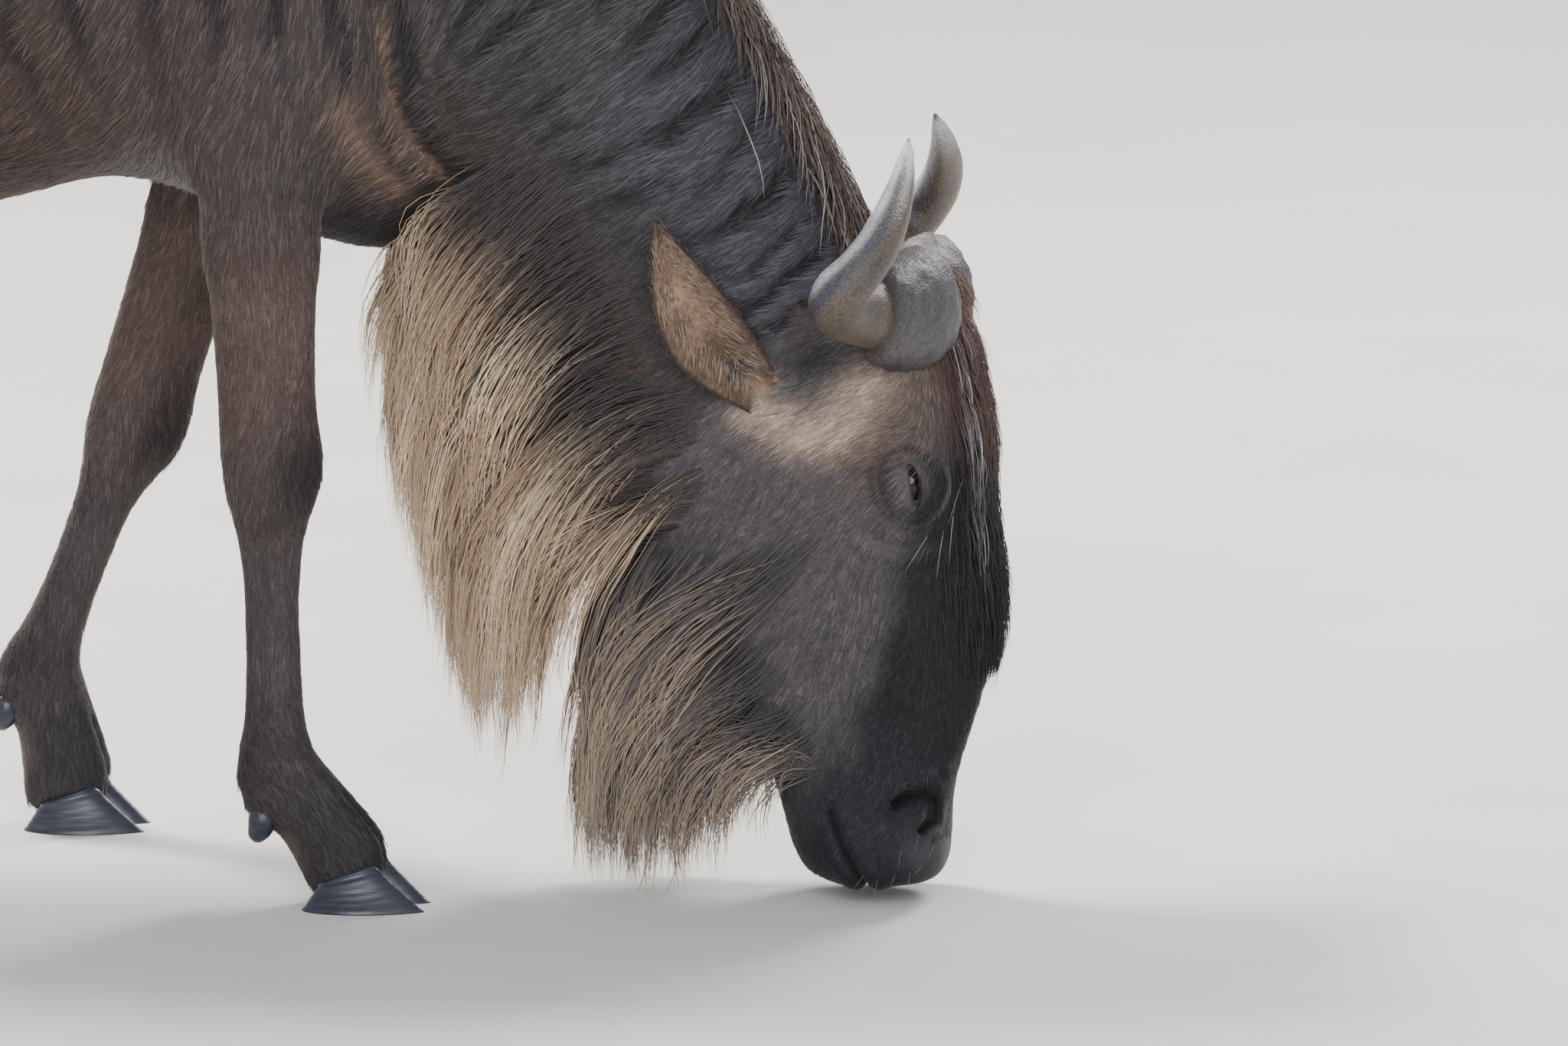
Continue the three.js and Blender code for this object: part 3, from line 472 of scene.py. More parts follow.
def wrap_skin():
    """One closed skin round all the flesh, finer on the head and finest at eyes, nostrils and mouth."""
    parts = flesh_parts()
    starts = np.cumsum([0] + [len(part_points) for part_points, _ in parts])
    tris = [part_tris + start for (_, part_tris), start in zip(parts, starts)]
    points = [part_points for part_points, _ in parts]
    skin = mesh_object("skin", np.concatenate(points), np.concatenate(tris))
    remesh = skin.modifiers.new("wrap", "REMESH")
    remesh.mode = "VOXEL"
    remesh.voxel_size = SKIN_VOXEL * MM
    remesh.use_smooth_shade = True
    depsgraph = bpy.context.evaluated_depsgraph_get()
    wrapped = bpy.data.meshes.new_from_object(skin.evaluated_get(depsgraph))
    skin.modifiers.clear()
    skin.data = wrapped
    points = mesh_points(wrapped)
    edges = mesh_edges(wrapped)
    points = relax(points, edges, np.full(len(points), 0.5), 5)
    x, y, z = points.T
    shoulder = step(z, 600, 700) * (1 - step(z, 1040, 1120)) * step(np.abs(y), 70, 105)
    shoulder *= np.maximum(step(x, -190, -130) * (1 - step(x, 130, 190)), 1 - step(x, -720, -640))
    points = relax(points, edges, 0.5 * shoulder, 70)
    points = relax(points, edges, 0.5 * swell(z - 1075, 60) * (x < -960), 20)
    throat = step(z, 280, 340) * (1 - step(z, 700, 760)) * step(x, 180, 240) * (1 - step(x, 600, 640))
    points = relax(points, edges, 0.5 * throat, 14)
    set_mesh_points(wrapped, points)
    refine(wrapped, lambda p: head_weight(p) > 0.5)
    refine(wrapped, lambda p: feature_distance(p) < 1)
    points = mesh_points(wrapped)
    edges = mesh_edges(wrapped)
    points = relax(points, edges, 0.5 * (head_weight(points) > 0.3), 4)
    set_mesh_points(wrapped, points)
    wrapped.polygons.foreach_set("use_smooth", np.ones(len(wrapped.polygons), bool))
    return skin


def head_weight(points):
    """1 on the head, fading to 0 at the neck."""
    return step(points[:, 0] * 0.6 - points[:, 2] * 0.8, -150, -110) * step(points[:, 0], 270, 310)


def feature_distance(points):
    """Below 1 near an eye, a nostril or the mouth."""
    local = turn_head(points, back=True)
    near = np.full(len(points), 9.0)
    for side in (-1, 1):
        for centre, reach in [(EYE["centre"], 52), (NOSTRIL_CENTRE, 40)]:
            near = np.minimum(near, np.linalg.norm(local - mirrored(centre, side), axis=1) / reach)
    near = np.minimum(near, np.where(local[:, 2] < 110, mouth_distance(local)[0] / 26, 9))
    return near


def refine(mesh, wanted):
    """Divides the faces whose middle is wanted."""
    shape = bmesh.new()
    shape.from_mesh(mesh)
    centres = np.array([f.calc_center_median()[:] for f in shape.faces])
    chosen = wanted((centres - ORIGIN) / MM)
    faces = [f for f, keep in zip(shape.faces, chosen) if keep]
    edges = list({e for f in faces for e in f.edges})
    bmesh.ops.subdivide_edges(shape, edges=edges, cuts=1, use_grid_fill=True)
    bmesh.ops.triangulate(shape, faces=[f for f in shape.faces if len(f.verts) > 4])
    shape.to_mesh(mesh)
    shape.free()


# Modelling of the face, in the head's own frame

NOSTRIL_CENTRE = np.array([596.0, 56.0, 84.0])
NOSTRIL_LINE = [(-21, 10), (-10, 18), (4, 17), (13, 8), (12, -6), (3, -15)]
MOUTH_LINE = [(556, -4), (548, 14), (536, 38), (524, 64), (513, 88)]


def polyline_distance(flat, line):
    """Distance of flat points to a line of points, and the share of the line at the nearest one."""
    line = np.array(line, float)
    best = np.full(len(flat), 1e9)
    share = np.zeros(len(flat))
    for i in range(len(line) - 1):
        way = line[i + 1] - line[i]
        t = np.clip((flat - line[i]) @ way / (way @ way), 0, 1)
        far = np.linalg.norm(flat - line[i] - t[:, None] * way, axis=1)
        closer = far < best
        best = np.where(closer, far, best)
        share = np.where(closer, (i + t) / (len(line) - 1), share)
    return best, share


def mouth_distance(local):
    return polyline_distance(local[:, [0, 2]], MOUTH_LINE)


# Ridges and creases of the face: line in the side view, reach, height
FACE_LINES = [
    ([(612, 352), (600, 300), (598, 240), (600, 180), (606, 130)], 15, 3.5),
    ([(560, 370), (545, 310), (548, 240), (560, 170)], 20, -4.0),
    ([(625, 430), (600, 448), (566, 442), (548, 420)], 12, 3.5),
    ([(470, 420), (440, 350), (430, 300), (440, 262)], 34, 5.0),
    ([(500, 200), (480, 240), (455, 262)], 20, -3.0),
    ([(548, 352), (560, 340), (585, 336), (610, 344)], 6, -2.2),
    ([(540, 342), (560, 327), (590, 324), (615, 332)], 5, 1.6),
    ([(600, 128), (585, 108), (572, 84), (572, 60)], 8, -2.5),
    ([(632, 118), (612, 126), (594, 118), (580, 100)], 7, 2.5),
    ([(520, 470), (500, 440), (498, 400)], 16, -3.0),
]


def shape_face(points, normals):
    """Ridges, creases, lips, lids and nostrils."""
    local = turn_head(points, back=True)
    way = turn_head(normals + HEAD_PIVOT, back=True) - HEAD_PIVOT
    inside = head_weight(points)
    sideways = step(np.abs(way[:, 1]), 0.15, 0.6) * inside
    flat = local[:, [0, 2]]
    for line, reach, height in FACE_LINES:
        distance, _ = polyline_distance(flat, line)
        local = local + way * (height * swell(distance, reach) * sideways)[:, None]
    local = shape_mouth(local, way, inside)
    for side in (-1, 1):
        local = shape_eye(local, side)
        local = shape_nostril(local, way, side)
    return turn_head(local)


def shape_mouth(local, way, inside):
    """The groove between the lips, and the lips beside it."""
    distance, share = mouth_distance(local)
    low_half = inside * (local[:, 2] < 130)
    taper = 1 - 0.75 * step(share, 0.6, 1)
    lips = 3.5 * swell(distance - 11, 8) * taper
    groove = 8.0 * swell(distance, 3.2) * (1 - step(share, 0.96, 1))
    return local + way * ((lips - groove) * low_half)[:, None]


EYE_AXIS_TILT = math.radians(8)
LID_THICKNESS = 3.0
SLIT_HALF_LENGTH = 20.0
SLIT_HALF_WIDTH = 4.0
SLIT_SHIFT = 6.0
SLIT_BEND = 4.0
LID_STRETCH = 1.2


def eye_coordinates(local, side):
    """Places round an eye from the middle of its ball: down the head, towards the brow, and out."""
    offset = local - mirrored(EYE["centre"], side)
    cosine, sine = math.cos(EYE_AXIS_TILT), math.sin(EYE_AXIS_TILT)
    down = offset[:, 0] * sine - offset[:, 2] * cosine
    brow = offset[:, 0] * cosine + offset[:, 2] * sine
    return down, brow, offset[:, 1] * side


def slit_distance(down, brow):
    """How far a place lies beyond the edge of the opening between the lids, and how far along it."""
    along = np.abs(down) / SLIT_HALF_LENGTH
    opening = SLIT_HALF_WIDTH * np.sqrt(np.maximum(1 - along ** 2, 0))
    return np.abs(brow - SLIT_SHIFT + SLIT_BEND * along ** 2) - opening, along


def shape_eye(local, side):
    """Lids that hug the ball, nearly shut over it, with the creases round them."""
    down, brow, out = eye_coordinates(local, side)
    radius = np.hypot(down, brow)
    near = (out > -6) & (radius < 60)
    ball = EYE["radius"] + LID_THICKNESS
    oval = np.hypot(down / LID_STRETCH, brow)
    cover = np.sqrt(np.maximum(ball ** 2 - np.minimum(oval, ball - 0.5) ** 2, 0))
    lid = step(-oval, -26, -15) * near
    out_new = out + (np.maximum(cover, out * 0.2) + 1.0 - out) * lid
    # crease round the lids, the ridge of the brow, and the folds below them
    out_new -= 4.6 * swell(oval - 25.5, 3.8) * near * (1 - 0.4 * step(brow, 0, 20))
    out_new += 2.6 * swell(oval - 33, 5.5) * near * step(brow, -6, 16)
    fold = np.hypot(down / 1.3, brow / 1.05)
    out_new += 2.0 * swell(fold - 24.5, 1.8) * near * step(down, 6, 18)
    out_new -= 2.2 * swell(fold - 28.5, 2.2) * near * step(down, 6, 18)
    out_new -= 1.8 * swell(oval - 36, 3.0) * near * step(-brow, 2, 16)
    # the opening and the rims of both lids
    beyond, along = slit_distance(down, brow)
    inside_ends = 1 - step(along, 0.95, 1.1)
    out_new += 1.4 * swell(beyond - 2.2, 2.0) * inside_ends * near
    gap = (1 - step(beyond, -1.2, 0.6)) * (along < 1.02) * near
    out_new += (np.minimum(out_new, EYE["radius"] * 0.55) - out_new) * gap
    change = (out_new - out) * (1 - step(radius, 48, 60))
    moved = local.copy()
    moved[:, 1] += side * np.where(near, change, 0)
    return moved


def nostril_distance(local):
    """Distance from the curved slit of a nostril in the side view, and the share along it."""
    return polyline_distance(local[:, [0, 2]] - NOSTRIL_CENTRE[[0, 2]], NOSTRIL_LINE)


def shape_nostril(local, way, side):
    """A curved hole with a raised rim, hollowed in one direction."""
    near = step(local[:, 1] * side, 26, 38) * (local[:, 2] < 150)
    distance, share = nostril_distance(local)
    width = 2.6 + 4.6 * np.sin(np.clip(share, 0.05, 1) * math.pi) ** 1.2
    hole = 12.0 * swell(distance, width + 0.5)
    rim = 2.6 * swell(distance - 1.6 * width - 4.0, 4.0)
    inward = unit(np.array([-0.5, -side * 0.85, 0.1]))
    return local + way * (rim * near)[:, None] + inward * (hole * near)[:, None]


# Folds, muscles and bones of the trunk in the side view: line, reach, height
TRUNK_LINES = [
    ([(70, 1225), (25, 1080), (0, 960), (-10, 860)], 34, 6),
    ([(-78, 1170), (-108, 1000), (-98, 860), (-84, 760)], 20, -7),
    ([(-30, 960), (-40, 850), (-44, 770)], 36, 7),
    ([(-52, 712), (-60, 690)], 24, 8),
    ([(104, 850), (112, 790), (128, 726), (168, 662)], 9, -7),
    ([(88, 860), (94, 790), (110, 726), (146, 664)], 10, 5),
    ([(140, 880), (142, 800), (165, 740)], 10, -5),
    ([(120, 1000), (150, 900), (165, 800)], 14, -3),
    ([(-640, 1000), (-680, 880)], 62, -10),
    ([(-690, 850), (-738, 750), (-765, 690)], 20, 7),
    ([(-705, 1105), (-730, 1095)], 34, 10),
    ([(-985, 1000), (-985, 860), (-960, 730)], 24, -7),
    ([(-780, 760), (-770, 720)], 34, 8),
    ([(-1000, 1090), (-1030, 1040)], 26, 7),
    ([(-780, 1100), (-880, 1000), (-900, 880)], 60, 6),
]
RIB_SPACING = 54
RIB_FIRST = -92
RIB_COUNT = 9
RIB_DEPTH = 3.4
RIB_REACH = 13
RIB_FADE = 0.22
NECK_FOLD_DEPTH = 6.5

# Folds of a leg: place along its joints, angle round it (0 in front), reach in mm, height
FOOT_LINES = [
    ([(3.05, 3.14), (3.1, 3.14)], 18, 4),
    ([(3.16, 2.65), (3.24, 2.65)], 17, 10),
    ([(3.16, 3.63), (3.24, 3.63)], 17, 10),
    ([(3.5, 0.0), (3.8, 0.0), (4.15, 0.0)], 6, -9),
]


def both_flanks(line, reach, height):
    """A fold on one flank of a leg and its mirror image on the other."""
    return [(line, reach, height), ([(along, -turn) for along, turn in line], reach, height)]


LEG_LINES = {
    "fore": [
        *both_flanks([(2.2, 1.9), (2.5, 1.95), (2.8, 1.9)], 6, -3),
        ([(1.92, 0.0), (2.0, 0.0)], 24, 3),
        *both_flanks([(1.1, 0.9), (1.4, 0.8), (1.75, 1.0)], 12, -3),
        *FOOT_LINES,
        *both_flanks([(3.1, 0.75), (3.5, 0.6), (3.95, 0.55)], 8, 3),
    ],
    "hind": [
        *both_flanks([(2.3, 1.9), (2.5, 1.95), (2.8, 1.9)], 6, -3),
        *both_flanks([(1.5, 2.2), (1.75, 2.2), (1.92, 2.3)], 12, -6),
        ([(1.96, 3.14), (2.0, 3.14)], 12, 4),
        *FOOT_LINES,
    ],
}


def shape_trunk(points, normals, part, place, angle):
    """Folds, muscles and ribs of the trunk, and the folds of the neck."""
    sideways = step(np.abs(normals[:, 1]), 0.25, 0.7) * step(np.abs(points[:, 1]), 60, 95)
    flat = points[:, [0, 2]]
    change = np.zeros(len(points))
    body = sideways * (1 - head_weight(points)) * step(points[:, 2], 560, 640)
    for line, reach, height in TRUNK_LINES:
        distance, _ = polyline_distance(flat, line)
        change += height * swell(distance, reach) * body
    for i in range(RIB_COUNT):
        x = RIB_FIRST - RIB_SPACING * i
        line = [(x + 6, 740), (x - 12, 860), (x - 18, 980), (x - 4, 1090)]
        distance, _ = polyline_distance(flat + noise(points, 160, i)[:, None] * 5, line)
        change -= (RIB_DEPTH - RIB_FADE * i) * swell(distance, RIB_REACH) * body
    change -= NECK_FOLD_DEPTH * neck_bars(points, place, angle) * (part == PART_NECK)
    return points + normals * change[:, None]


def shape_legs(points, normals, part):
    """Tendons, knees, hocks and toe grooves."""
    for number, (name, loft) in enumerate(legs.items()):
        mine = (part == PART_LEG + number) & (points[:, 2] < 720)
        if not mine.any():
            continue
        kind = LEGS[name][1]
        own = points[mine]
        change = np.zeros(len(own))
        for line, reach, height in LEG_LINES[kind]:
            line = np.array(line, float)
            fine = np.linspace(0, len(line) - 1, 24)
            at = np.interp(fine, np.arange(len(line)), line[:, 0]) / LEG_STEP
            turn = np.interp(fine, np.arange(len(line)), line[:, 1])
            for target in loft.point(at, turn):
                far = np.linalg.norm(own - target, axis=1)
                change_here = height * swell(far, reach)
                change = np.where(np.abs(change_here) > np.abs(change), change_here, change)
        points[mine] = own + normals[mine] * change[:, None]
    return points


# Which part of the body a point of the skin belongs to, and the box of each part on the unwrap
PART_TRUNK, PART_NECK, PART_HEAD, PART_DOCK, PART_LEG = range(5)
ATLAS = np.array([
    (0.02, 0.64, 0.96, 0.34),
    (0.02, 0.34, 0.38, 0.27),
    (0.44, 0.34, 0.54, 0.27),
    (0.86, 0.03, 0.1, 0.26),
    *[(0.02 + 0.2 * number, 0.03, 0.18, 0.26) for number in range(len(LEGS))],
])


class Chart:
    """The unwrap of the body: nearest sample of the lofts for any point."""

    def __init__(self):
        samples = []
        for part, loft, along, sides in [(PART_TRUNK, trunk, 130, 96), (PART_NECK, neck, 90, 80),
                                         (PART_HEAD, head, 90, 72), (PART_DOCK, dock, 30, 14)]:
            points, place, angle = loft.grid(along, sides)
            points = turn_head(points) if part == PART_HEAD else points
            samples.append((points, np.full(len(points), part), place / loft.last, angle))
        for number, loft in enumerate(legs.values()):
            points, place, angle = loft.grid(90, 24)
            low_part = points[:, 2] < 820
            points, place, angle = points[low_part], place[low_part], angle[low_part]
            samples.append((points, np.full(len(points), PART_LEG + number), place / loft.last, angle))
        columns = [np.concatenate(column) for column in zip(*samples)]
        self.points, self.part, self.place, self.angle = columns
        self.tree = KDTree(len(self.points))
        for i, point in enumerate(self.points):
            self.tree.insert(point, i)
        self.tree.balance()

    def find(self, points):
        found = [self.tree.find_n(point, 4) for point in points]
        index = np.array([[hit[1] for hit in hits] for hits in found])
        far = np.array([[hit[2] for hit in hits] for hits in found])
        part = self.part[index[:, 0]]
        share = (self.part[index] == part[:, None]) / (far + 1.0) ** 2
        share /= share.sum(1, keepdims=True)
        place = np.sum(self.place[index] * share, 1)
        sine = np.sum(np.sin(self.angle[index]) * share, 1)
        cosine = np.sum(np.cos(self.angle[index]) * share, 1)
        return part, place, np.arctan2(sine, cosine) % (2 * math.pi)

    def unwrap(self, points):
        part, place, angle = self.find(points)
        box = ATLAS[part]
        turn = angle / (2 * math.pi)
        leg = part >= PART_DOCK
        across = np.where(leg, turn, place)
        up = np.where(leg, place, turn)
        return np.stack([box[:, 0] + box[:, 2] * across, box[:, 1] + box[:, 3] * up], 1)


# Colours of the coat

BROWN = srgb(68, 55, 50)
SHOULDER_GREY = srgb(68, 60, 59)
NECK_GREY = srgb(54, 52, 53)
# blue-grey of the neck: partly the coat's own tone, partly a painted bluish sheen
BLUE_SHEEN_GREY = srgb(66, 65, 73)
# dark of the coat's bars, used also for painted shade and painted shadow in creases and grooves, under the
# brisket and beside the fold of skin
BAR_AND_SHADE = srgb(24, 21, 24)
BLACK = srgb(28, 27, 33)
CHEEK = srgb(84, 79, 81)
FOREHEAD = srgb(92, 77, 69)
TAN = srgb(190, 166, 146)
FOLD_TAN = srgb(108, 88, 74)
MUZZLE = srgb(84, 84, 90)
LEG_BROWN = srgb(84, 69, 63)
LEG_COOL = srgb(70, 62, 62)
PASTERN = srgb(38, 36, 41)
JAW_GREY = srgb(100, 94, 96)
EAR_INNER = srgb(150, 124, 104)


def mix(colours, other, share):
    return colours + (other - colours) * np.asarray(share)[:, None]


def shades(first, second, share):
    """Colours between two, one for each share."""
    return mix(np.tile(first, (len(share), 1)), second, share)


def blob(points, centre, radii):
    """1 at the centre, fading out over the radii."""
    return np.exp(-np.sum(((points - centre) / radii) ** 2, axis=1))


FOLD_PATCH = [(78, 752), (84, 722), (98, 688), (120, 664)]
# line of the painted highlight along the ridge of the fold before the shoulder
FOLD_RIDGE_HIGHLIGHT = [(113, 830), (115, 790), (117, 748), (130, 712), (150, 682), (174, 659)]
FOLD_SHADOW = [(132, 830), (134, 790), (140, 742), (158, 704), (182, 676)]
TAN_LINE = [(446, 462), (480, 446), (512, 440), (536, 456)]

# Rear border of the black nose: heights, then how far forward it lies there
NOSE_BORDER = ([0, 100, 200, 300, 380, 470], [470, 505, 545, 575, 600, 625])


def ear_cup_share(side):
    """1 on skin that lies in the cup of the right ear, for points in the head's own frame."""
    root, axis, length, facing, across = ear_frame(-1)
    offset = side - root
    t = offset @ axis / length
    wide = np.interp(t, np.linspace(0, 1, len(EAR["outline"])), EAR["outline"]) * EAR["width"] / 2
    aside = offset @ across - EAR["bow"] * np.sin(math.pi * np.clip(t, 0, 1))
    inside = (t > 0.05) & (t < 0.9) & (np.abs(aside) < wide) & (offset @ facing > -EAR["cup"] - 4)
    return inside * 1.0


def rib_bars(points):
    """Upright dark bars of the flank and shoulder, from 0 to 1."""
    x, _, z = points.T
    sway = 14 * noise(points, 260, 31) + 6 * noise(points, 90, 32)
    phase = (x - RIB_FIRST + 0.12 * (z - 800) + sway) / RIB_SPACING
    bars = step(np.cos(2 * math.pi * phase), 0.2, 0.95)
    bars *= step(z, 660, 800) * (1 - step(z, 1130, 1230)) * step(x, -700, -420)
    return bars * np.clip(0.8 + 0.5 * noise(points, 240, 33), 0, 1)


def neck_bars(points, place, angle):
    """Short arcs across the side of the neck, from 0 to 1: grooves between its folds, painted dark partly as
    the coat's own bars and partly as shade in the grooves.
    """
    turn = from_front(angle)
    phase = place * neck.last * 2.3 + 0.5 * (turn - 0.9) ** 2 + 0.4 * noise(points, 170, 34)
    phase += 0.16 * noise(points, 60, 35)
    bars = step(np.cos(2 * math.pi * phase), -0.2, 0.8)
    bars *= step(turn, 0.22, 0.5) * (1 - step(turn, 1.35, 1.9))
    bars *= step(place * neck.last, 0.3, 1.2) * (1 - step(place * neck.last, 7.2, 8.2))
    return bars * np.clip(0.7 + 0.8 * noise(points, 120, 36), 0, 1)


def markings(points, part, place, angle):
    """The coat's colour at points on the skin."""
    x, _, z = points.T
    side = right_side(points)
    flat = side[:, [0, 2]]
    on_trunk = (part == PART_TRUNK) * 1.0
    on_neck = (part == PART_NECK) * 1.0
    turn = from_front(angle)
    colours = np.tile(BROWN, (len(points), 1)) * (1 + 0.1 * noise(points, 190, 30))[:, None]
    front = step(x + 40 * noise(points, 200, 37), -230, -20)
    colours = mix(colours, SHOULDER_GREY, 0.85 * front)
    colours = mix(colours, BROWN * 0.62, 0.8 * step(z, 1090, 1240))
    colours = mix(colours, NECK_GREY, 0.9 * on_neck * step(place * neck.last, 1.0, 3.5))
    # painted bluish sheen over the blue-grey tone, on the upper side of the neck near the head
    bluish_sheen = on_neck * step(place * neck.last, 3.6, 5.2) * (1 - step(turn, 1.0, 1.7))
    colours = mix(colours, BLUE_SHEEN_GREY, 0.9 * bluish_sheen)
    colours = mix(colours, BAR_AND_SHADE, 0.85 * rib_bars(points) * on_trunk)
    # dark arcs of the neck: partly the coat's own bars, partly painted shade in the grooves between the folds
    colours = mix(colours, BAR_AND_SHADE, 0.95 * neck_bars(points, place, angle) * on_neck)
    colours = mix(colours, BROWN * 0.8, 0.7 * on_neck * step(turn, 1.5, 2.1))
    # painted shadow on the brisket, and the bare fold of skin before the shoulder: its tan patch, painted
    # shadow beside it and a painted highlight along its ridge
    colours = mix(colours, BAR_AND_SHADE, 0.8 * blob(side, [120, -60, 610], [130, 130, 46]))
    outer = step(-side[:, 1], 50, 85) * (z > 620) * (part != PART_HEAD)
    patch, _ = polyline_distance(flat, FOLD_PATCH)
    colours = mix(colours, FOLD_TAN, 0.8 * swell(patch, 15) * outer)
    shadow, _ = polyline_distance(flat, FOLD_SHADOW)
    colours = mix(colours, BAR_AND_SHADE, 0.75 * swell(shadow, 10) * outer)
    # painted highlight along the ridge of the fold
    ridge, _ = polyline_distance(flat, FOLD_RIDGE_HIGHLIGHT)
    colours = mix(colours, FOLD_TAN * 1.15, 0.75 * swell(ridge, 6) * outer)
    colours = leg_markings(colours, points, part, place, angle)
    return face_markings(colours, points)


def leg_markings(colours, points, part, place, angle):
    """Brown legs with a dark knee and pastern, and painted shade in the toe groove."""
    mine = (part >= PART_LEG) * 1.0
    front = np.cos(angle)
    along = place * LEG_END
    low_leg = shades(LEG_BROWN, LEG_COOL, step(along, 1.6, 2.4))
    low_leg = low_leg * (1 + 0.12 * noise(points, 70, 38))[:, None]
    colours = mix(colours, low_leg, mine * (1 - step(points[:, 2], 560, 700)))
    knee = swell(along - 1.96, 0.17) * step(front, -0.2, 0.6)
    colours = mix(colours, BAR_AND_SHADE, 0.75 * knee * mine)
    colours = mix(colours, BAR_AND_SHADE, 0.35 * mine * swell(along - 2.95, 0.16))
    pastern = step(along, 2.9, 3.6) * (0.55 + 0.45 * step(front, -0.6, 0.3))
    colours = mix(colours, PASTERN, 0.85 * mine * pastern)
    # painted shade in the groove between the toes
    colours = mix(colours, BAR_AND_SHADE, 0.8 * mine * step(along, 3.4, 3.7) * step(front, 0.965, 0.995))
    return mix(colours, TAN * 0.4, 0.4 * mine * swell(along - 3.6, 0.2) * step(-front, 0.3, 0.9))


def face_markings(colours, points):
    """Grey cheek, black nose, brown forehead and the tan patch before the ear."""
    side = right_side(turn_head(points, back=True))
    face = shades(CHEEK, CHEEK * 0.8, 0.5 + 0.5 * noise(points, 90, 41))
    # black from the brow down the nose to the lips, brown forehead, tan from the eye to the ear
    front = side[:, 0] - np.interp(side[:, 2], *NOSE_BORDER)
    ragged = front + 10 * noise(points, 60, 42)
    black = step(ragged, -22, 26) * (1 - step(side[:, 2], 430, 500))
    forehead = step(side[:, 2], 400, 450) * step(side[:, 0], 520, 560)
    face = mix(face, FOREHEAD, 0.75 * forehead)
    face = mix(face, FOREHEAD * 0.9, 0.7 * blob(side, [556, -95, 430], [44, 60, 44]))
    tan_line, _ = polyline_distance(side[:, [0, 2]], TAN_LINE)
    face = mix(face, TAN, 0.85 * swell(tan_line, 22) * (0.85 + 0.25 * noise(points, 22, 43)))
    face = mix(face, TAN * 0.9, 0.7 * blob(side, [548, -92, 486], [26, 50, 17]))
    face = mix(face, BLACK, black)
    face = mix(face, BLACK * 1.2, 0.9 * blob(side, [622, -80, 392], [14, 60, 34]))
    face = mix(face, BAR_AND_SHADE * 1.2, 0.6 * blob(side, [568, -100, 398], [9, 50, 30]))
    face = mix(face, CHEEK * 1.05, 0.5 * blob(side, [592, -110, 400], [13, 40, 22]))
    face = mix(face, BLACK * 1.3, 0.8 * (1 - step(side[:, 2], 90, 150)))
    face = mix(face, MUZZLE, 0.55 * blob(side, [606, -60, 50], [22, 40, 22]))
    # painted shade inside each nostril's hollow
    nostril, _ = nostril_distance(side)
    face = mix(face, BLACK * 0.25, swell(nostril, 5.5) * (side[:, 1] < -26) * (side[:, 2] < 150))
    face = mix(face, JAW_GREY, 0.45 * blob(side, [430, -60, 200], [60, 90, 60]))
    # lids painted lighter as a highlight on their bulge, and painted shade in the crease round them, darker
    # on the brow side and towards the nose
    down, brow, out = eye_coordinates(side, -1)
    oval = np.hypot(down / LID_STRETCH, brow)
    face = mix(face, CHEEK * 1.1, 0.6 * (1 - step(oval, 12, 24)) * (out > -10))
    crease_shade = swell(oval - 27 - 2 * noise(points, 30, 44), 4.5) * (out > -20)
    face = mix(face, BAR_AND_SHADE, crease_shade * (0.25 + 0.35 * step(brow, -4, 20) + 0.2 * step(down, 4, 20)))
    # black hollow between horn and ear, and the crown between the horns
    face = mix(face, BLACK, 0.95 * blob(side, [500, -88, 510], [30, 60, 22]))
    face = mix(face, srgb(96, 92, 92), 0.9 * blob(side, [584, 0, 585], [46, 60, 36]))
    face = mix(face, EAR_INNER, ear_cup_share(side))
    return mix(colours, face, head_weight(points))


# Skin and coat

def build_skin():
    """The shaped and coloured skin: its points, their normals and its triangles."""
    skin = wrap_skin()
    mesh = skin.data
    points = mesh_points(mesh)
    normals = mesh_normals(mesh)
    part, place, angle = chart.find(points)
    points = shape_trunk(points, normals, part, place, angle)
    points = shape_legs(points, normals, part)
    points = shape_face(points, normals)
    set_mesh_points(mesh, points)
    add_colours(mesh, markings(points, part, place, angle) * SKIN_SHADE)
    mesh.materials.clear()
    mesh.materials.append(MATERIALS["skin"])
    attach(skin, "root")
    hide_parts("torso", "neck", "head", "tail", *LEGS)
    mesh.calc_loop_triangles()
    return points, mesh_normals(mesh), read(mesh.loop_triangles, "vertices", 3, np.int32)


def bare_places(points):
    """1 where no tuft grows: in the eyes, nostrils and mouth, on the nose pad and under horns and claws."""
    local = turn_head(points, back=True)
    bare = np.zeros(len(points))
    for side in (-1, 1):
        down, brow, out = eye_coordinates(local, side)
        beyond, along = slit_distance(down, brow)
        bare = np.maximum(bare, (beyond < 2.6) & (along < 1.1) & (out > 0))
        distance, _ = nostril_distance(local)
        bare = np.maximum(bare, (distance < 10) & (local[:, 1] * side > 18) & (local[:, 2] < 130))
    bare = np.maximum(bare, ear_cup_share(right_side(local)))
    distance, _ = mouth_distance(local)
    bare = np.maximum(bare, (distance < 4) & (local[:, 2] < 95))
    bare = np.maximum(bare, (local[:, 2] < 62) & (local[:, 0] > 570))
    for x, y, z, depth, height in HORN[:4]:
        for side in (-1, 1):
            near = np.linalg.norm((local - [x, y * side, z]) / [depth * 0.85, 30, height * 0.85], axis=1) < 1
            bare = np.maximum(bare, near)
    return np.maximum(bare, points[:, 2] < 24)


# Materials

def new_material(name, roughness, specular=0.5):
    made = bpy.data.materials.new(name)
    made.use_nodes = True
    shader = made.node_tree.nodes["Principled BSDF"]
    shader.inputs["Roughness"].default_value = roughness
    shader.inputs["Specular IOR Level"].default_value = specular
    return made, made.node_tree.nodes, made.node_tree.links, shader


